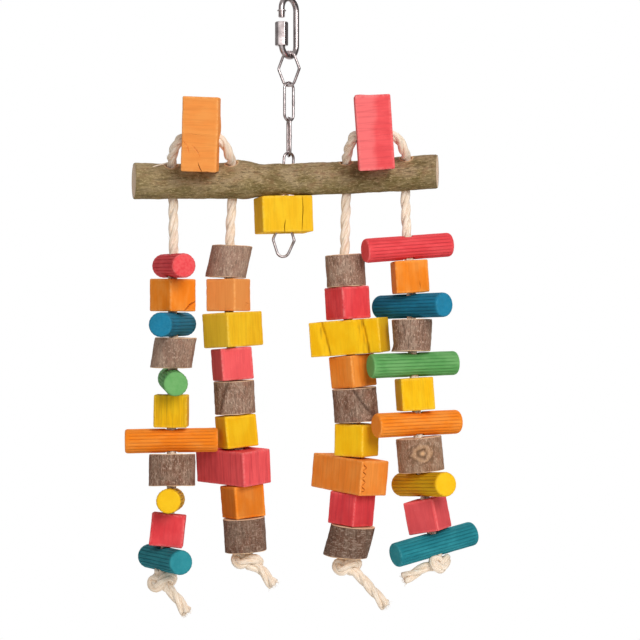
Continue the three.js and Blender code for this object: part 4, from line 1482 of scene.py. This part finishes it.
def latheAt(bm, profile, place, steps=36):
    verts = [bm.verts.new((r, 0, z)) for r, z in profile]
    edges = [bm.edges.new(pair) for pair in zip(verts, verts[1:])]
    bmesh.ops.spin(bm, geom=verts + edges, cent=(0, 0, 0), axis=(0, 0, 1), angle=2 * math.pi, steps=steps,
                   use_merge=True, use_duplicate=False)
    bmesh.ops.remove_doubles(bm, verts=bm.verts, dist=1e-4)
    bmesh.ops.recalc_face_normals(bm, faces=bm.faces[:])
    bm.transform(Matrix.Translation(place))


def hangQuickLink(finish):
    q = quickLink
    half = q["spacing"] / 2
    turned = Matrix.Rotation(math.radians(q["yaw"]), 4, "Z")
    leg = q["topArc"] - (q["threadEnd"] + q["threadLength"])
    bm = bmesh.new()
    moves = [("run", q["stub"] - q["bottomArc"], 3), ("turn", 180, half),
             ("run", q["topArc"] - q["bottomArc"], 6), ("turn", 180, half), ("run", leg, 1)]
    bendWire(bm, q["wire"] / 2, 28, (-half, q["stub"]), 180, moves, False)
    closeEnds(bm)
    # thread with rounded ridges, and the collar above it
    turns = int(q["threadLength"] / q["pitch"])
    crest, root = q["threadDia"] / 2, q["threadDia"] / 2 - q["threadDepth"]
    profile = [(0.0, q["threadEnd"]), (root - 0.3, q["threadEnd"]), (root, q["threadEnd"] + 0.25)]
    for t in range(turns):
        z = q["threadEnd"] + 0.3 + q["pitch"] * t
        profile += [(root, z + 0.12), (crest, z + 0.36), (crest, z + 0.46), (root, z + 0.7)]
    collar = q["threadEnd"] + q["threadLength"] - q["collarThick"] / 2
    wide = q["collarDia"] / 2
    top = collar + q["collarThick"]
    profile += [(root, collar), (wide - 0.2, collar), (wide, collar + 0.2), (wide, top - 0.2),
                (wide - 0.2, top), (0.0, top)]
    screw = bmesh.new()
    latheAt(screw, profile, (-half, 0, 0))
    spare = bpy.data.meshes.new("screw")
    screw.to_mesh(spare)
    screw.free()
    bm.from_mesh(spare)
    bpy.data.meshes.remove(spare)
    settle(bm)
    bm.transform(turned)
    made = addObject("quick_link_wire", bm)
    smoothOver(made, 40)
    stand(made, "quick_link_body", "quick_link", "steel", finish)

    # hexagon bar with its corners turned off at both ends
    middle = turned @ Vector((-half, 0, 0))
    corner = q["nutFlats"] / math.sqrt(3)
    height = q["nutTop"] - q["nutBottom"]
    bm = bmesh.new()
    bmesh.ops.create_cone(bm, cap_ends=True, segments=6, radius1=corner, radius2=corner, depth=height)
    uprights = [e for e in bm.edges if abs(e.verts[0].co.z - e.verts[1].co.z) > 1]
    bmesh.ops.bevel(bm, geom=uprights, offset=0.22, offset_type="OFFSET", segments=3, profile=0.5,
                    affect="EDGES", material=-1)
    flatOn = Matrix.Rotation(math.radians(30), 4, "Z")  # a flat, not a corner, looks at the viewer
    bm.transform(Matrix.Translation(middle + Vector((0, 0, (q["nutTop"] + q["nutBottom"]) / 2))) @ flatOn)
    nut = addObject("quick_link_sleeve", bm)
    barrel = bmesh.new()
    rim, shoulder = q["nutFlats"] / 2 + 0.05, corner + 0.1
    low, high = q["nutBottom"] - 0.001, q["nutTop"] + 0.001  # a hair past the bar's ends
    latheAt(barrel, [(0, low), (rim, low), (shoulder, q["nutBottom"] + 0.6), (shoulder, q["nutTop"] - 0.6),
                     (rim, high), (0, high)], middle, 60)
    carve(nut, barrel, "INTERSECT")
    carve(nut, boreTool(q["nutBore"], middle + Vector((0, 0, q["nutTop"])), Vector((0, 0, 1)), 40))
    smoothOver(nut, 25)
    stand(nut, "quick_link_nut", "nut", "steel", finish)


lightStudio()
sisalFinish = sisal()
hangStrings(sisalFinish)
layArches(sisalFinish)
print("ropes laid")

woods = {name: dyedWood(name + "Dye", dye) for name, dye in dyes.items()}
logBark, branchBark = (barkFinish(name + "Bark", bark) for name, bark in barks.items())
logEnd, branchEnd = (sawnWood(name + "End", *pair) for name, pair in sawnEnds.items())
linkSteel, chainSteel = (steelFinish(name + "Steel", *look) for name, look in steels.items())

layBranch(branchBark, branchEnd)
layStrand(sisalFinish)
print("branch laid")
hangQuickLink(linkSteel)
hangChain(chainSteel)
print("steel hung")
sawBlock("centre_block", woods["yellow"], "yellow_wood", False)
sawBlock("top_block_left", woods["orange"], "orange_wood", False)
sawBlock("top_block_right", woods["red"], "red_wood", False)
for node in sorted(nodes):
    words = node.split("_")
    if words[0] != "string" or words[-1] == "rope":
        continue
    if words[-1] == "log":
        sawLog(node, logBark, logEnd, "log_bark")
    elif words[-1] == "dowel":
        reedDowel(node, woods[words[3]], words[3] + "_wood")
    else:
        sawBlock(node, woods[words[3]], words[3] + "_wood", words[-1] == "cube")
print("beads threaded")
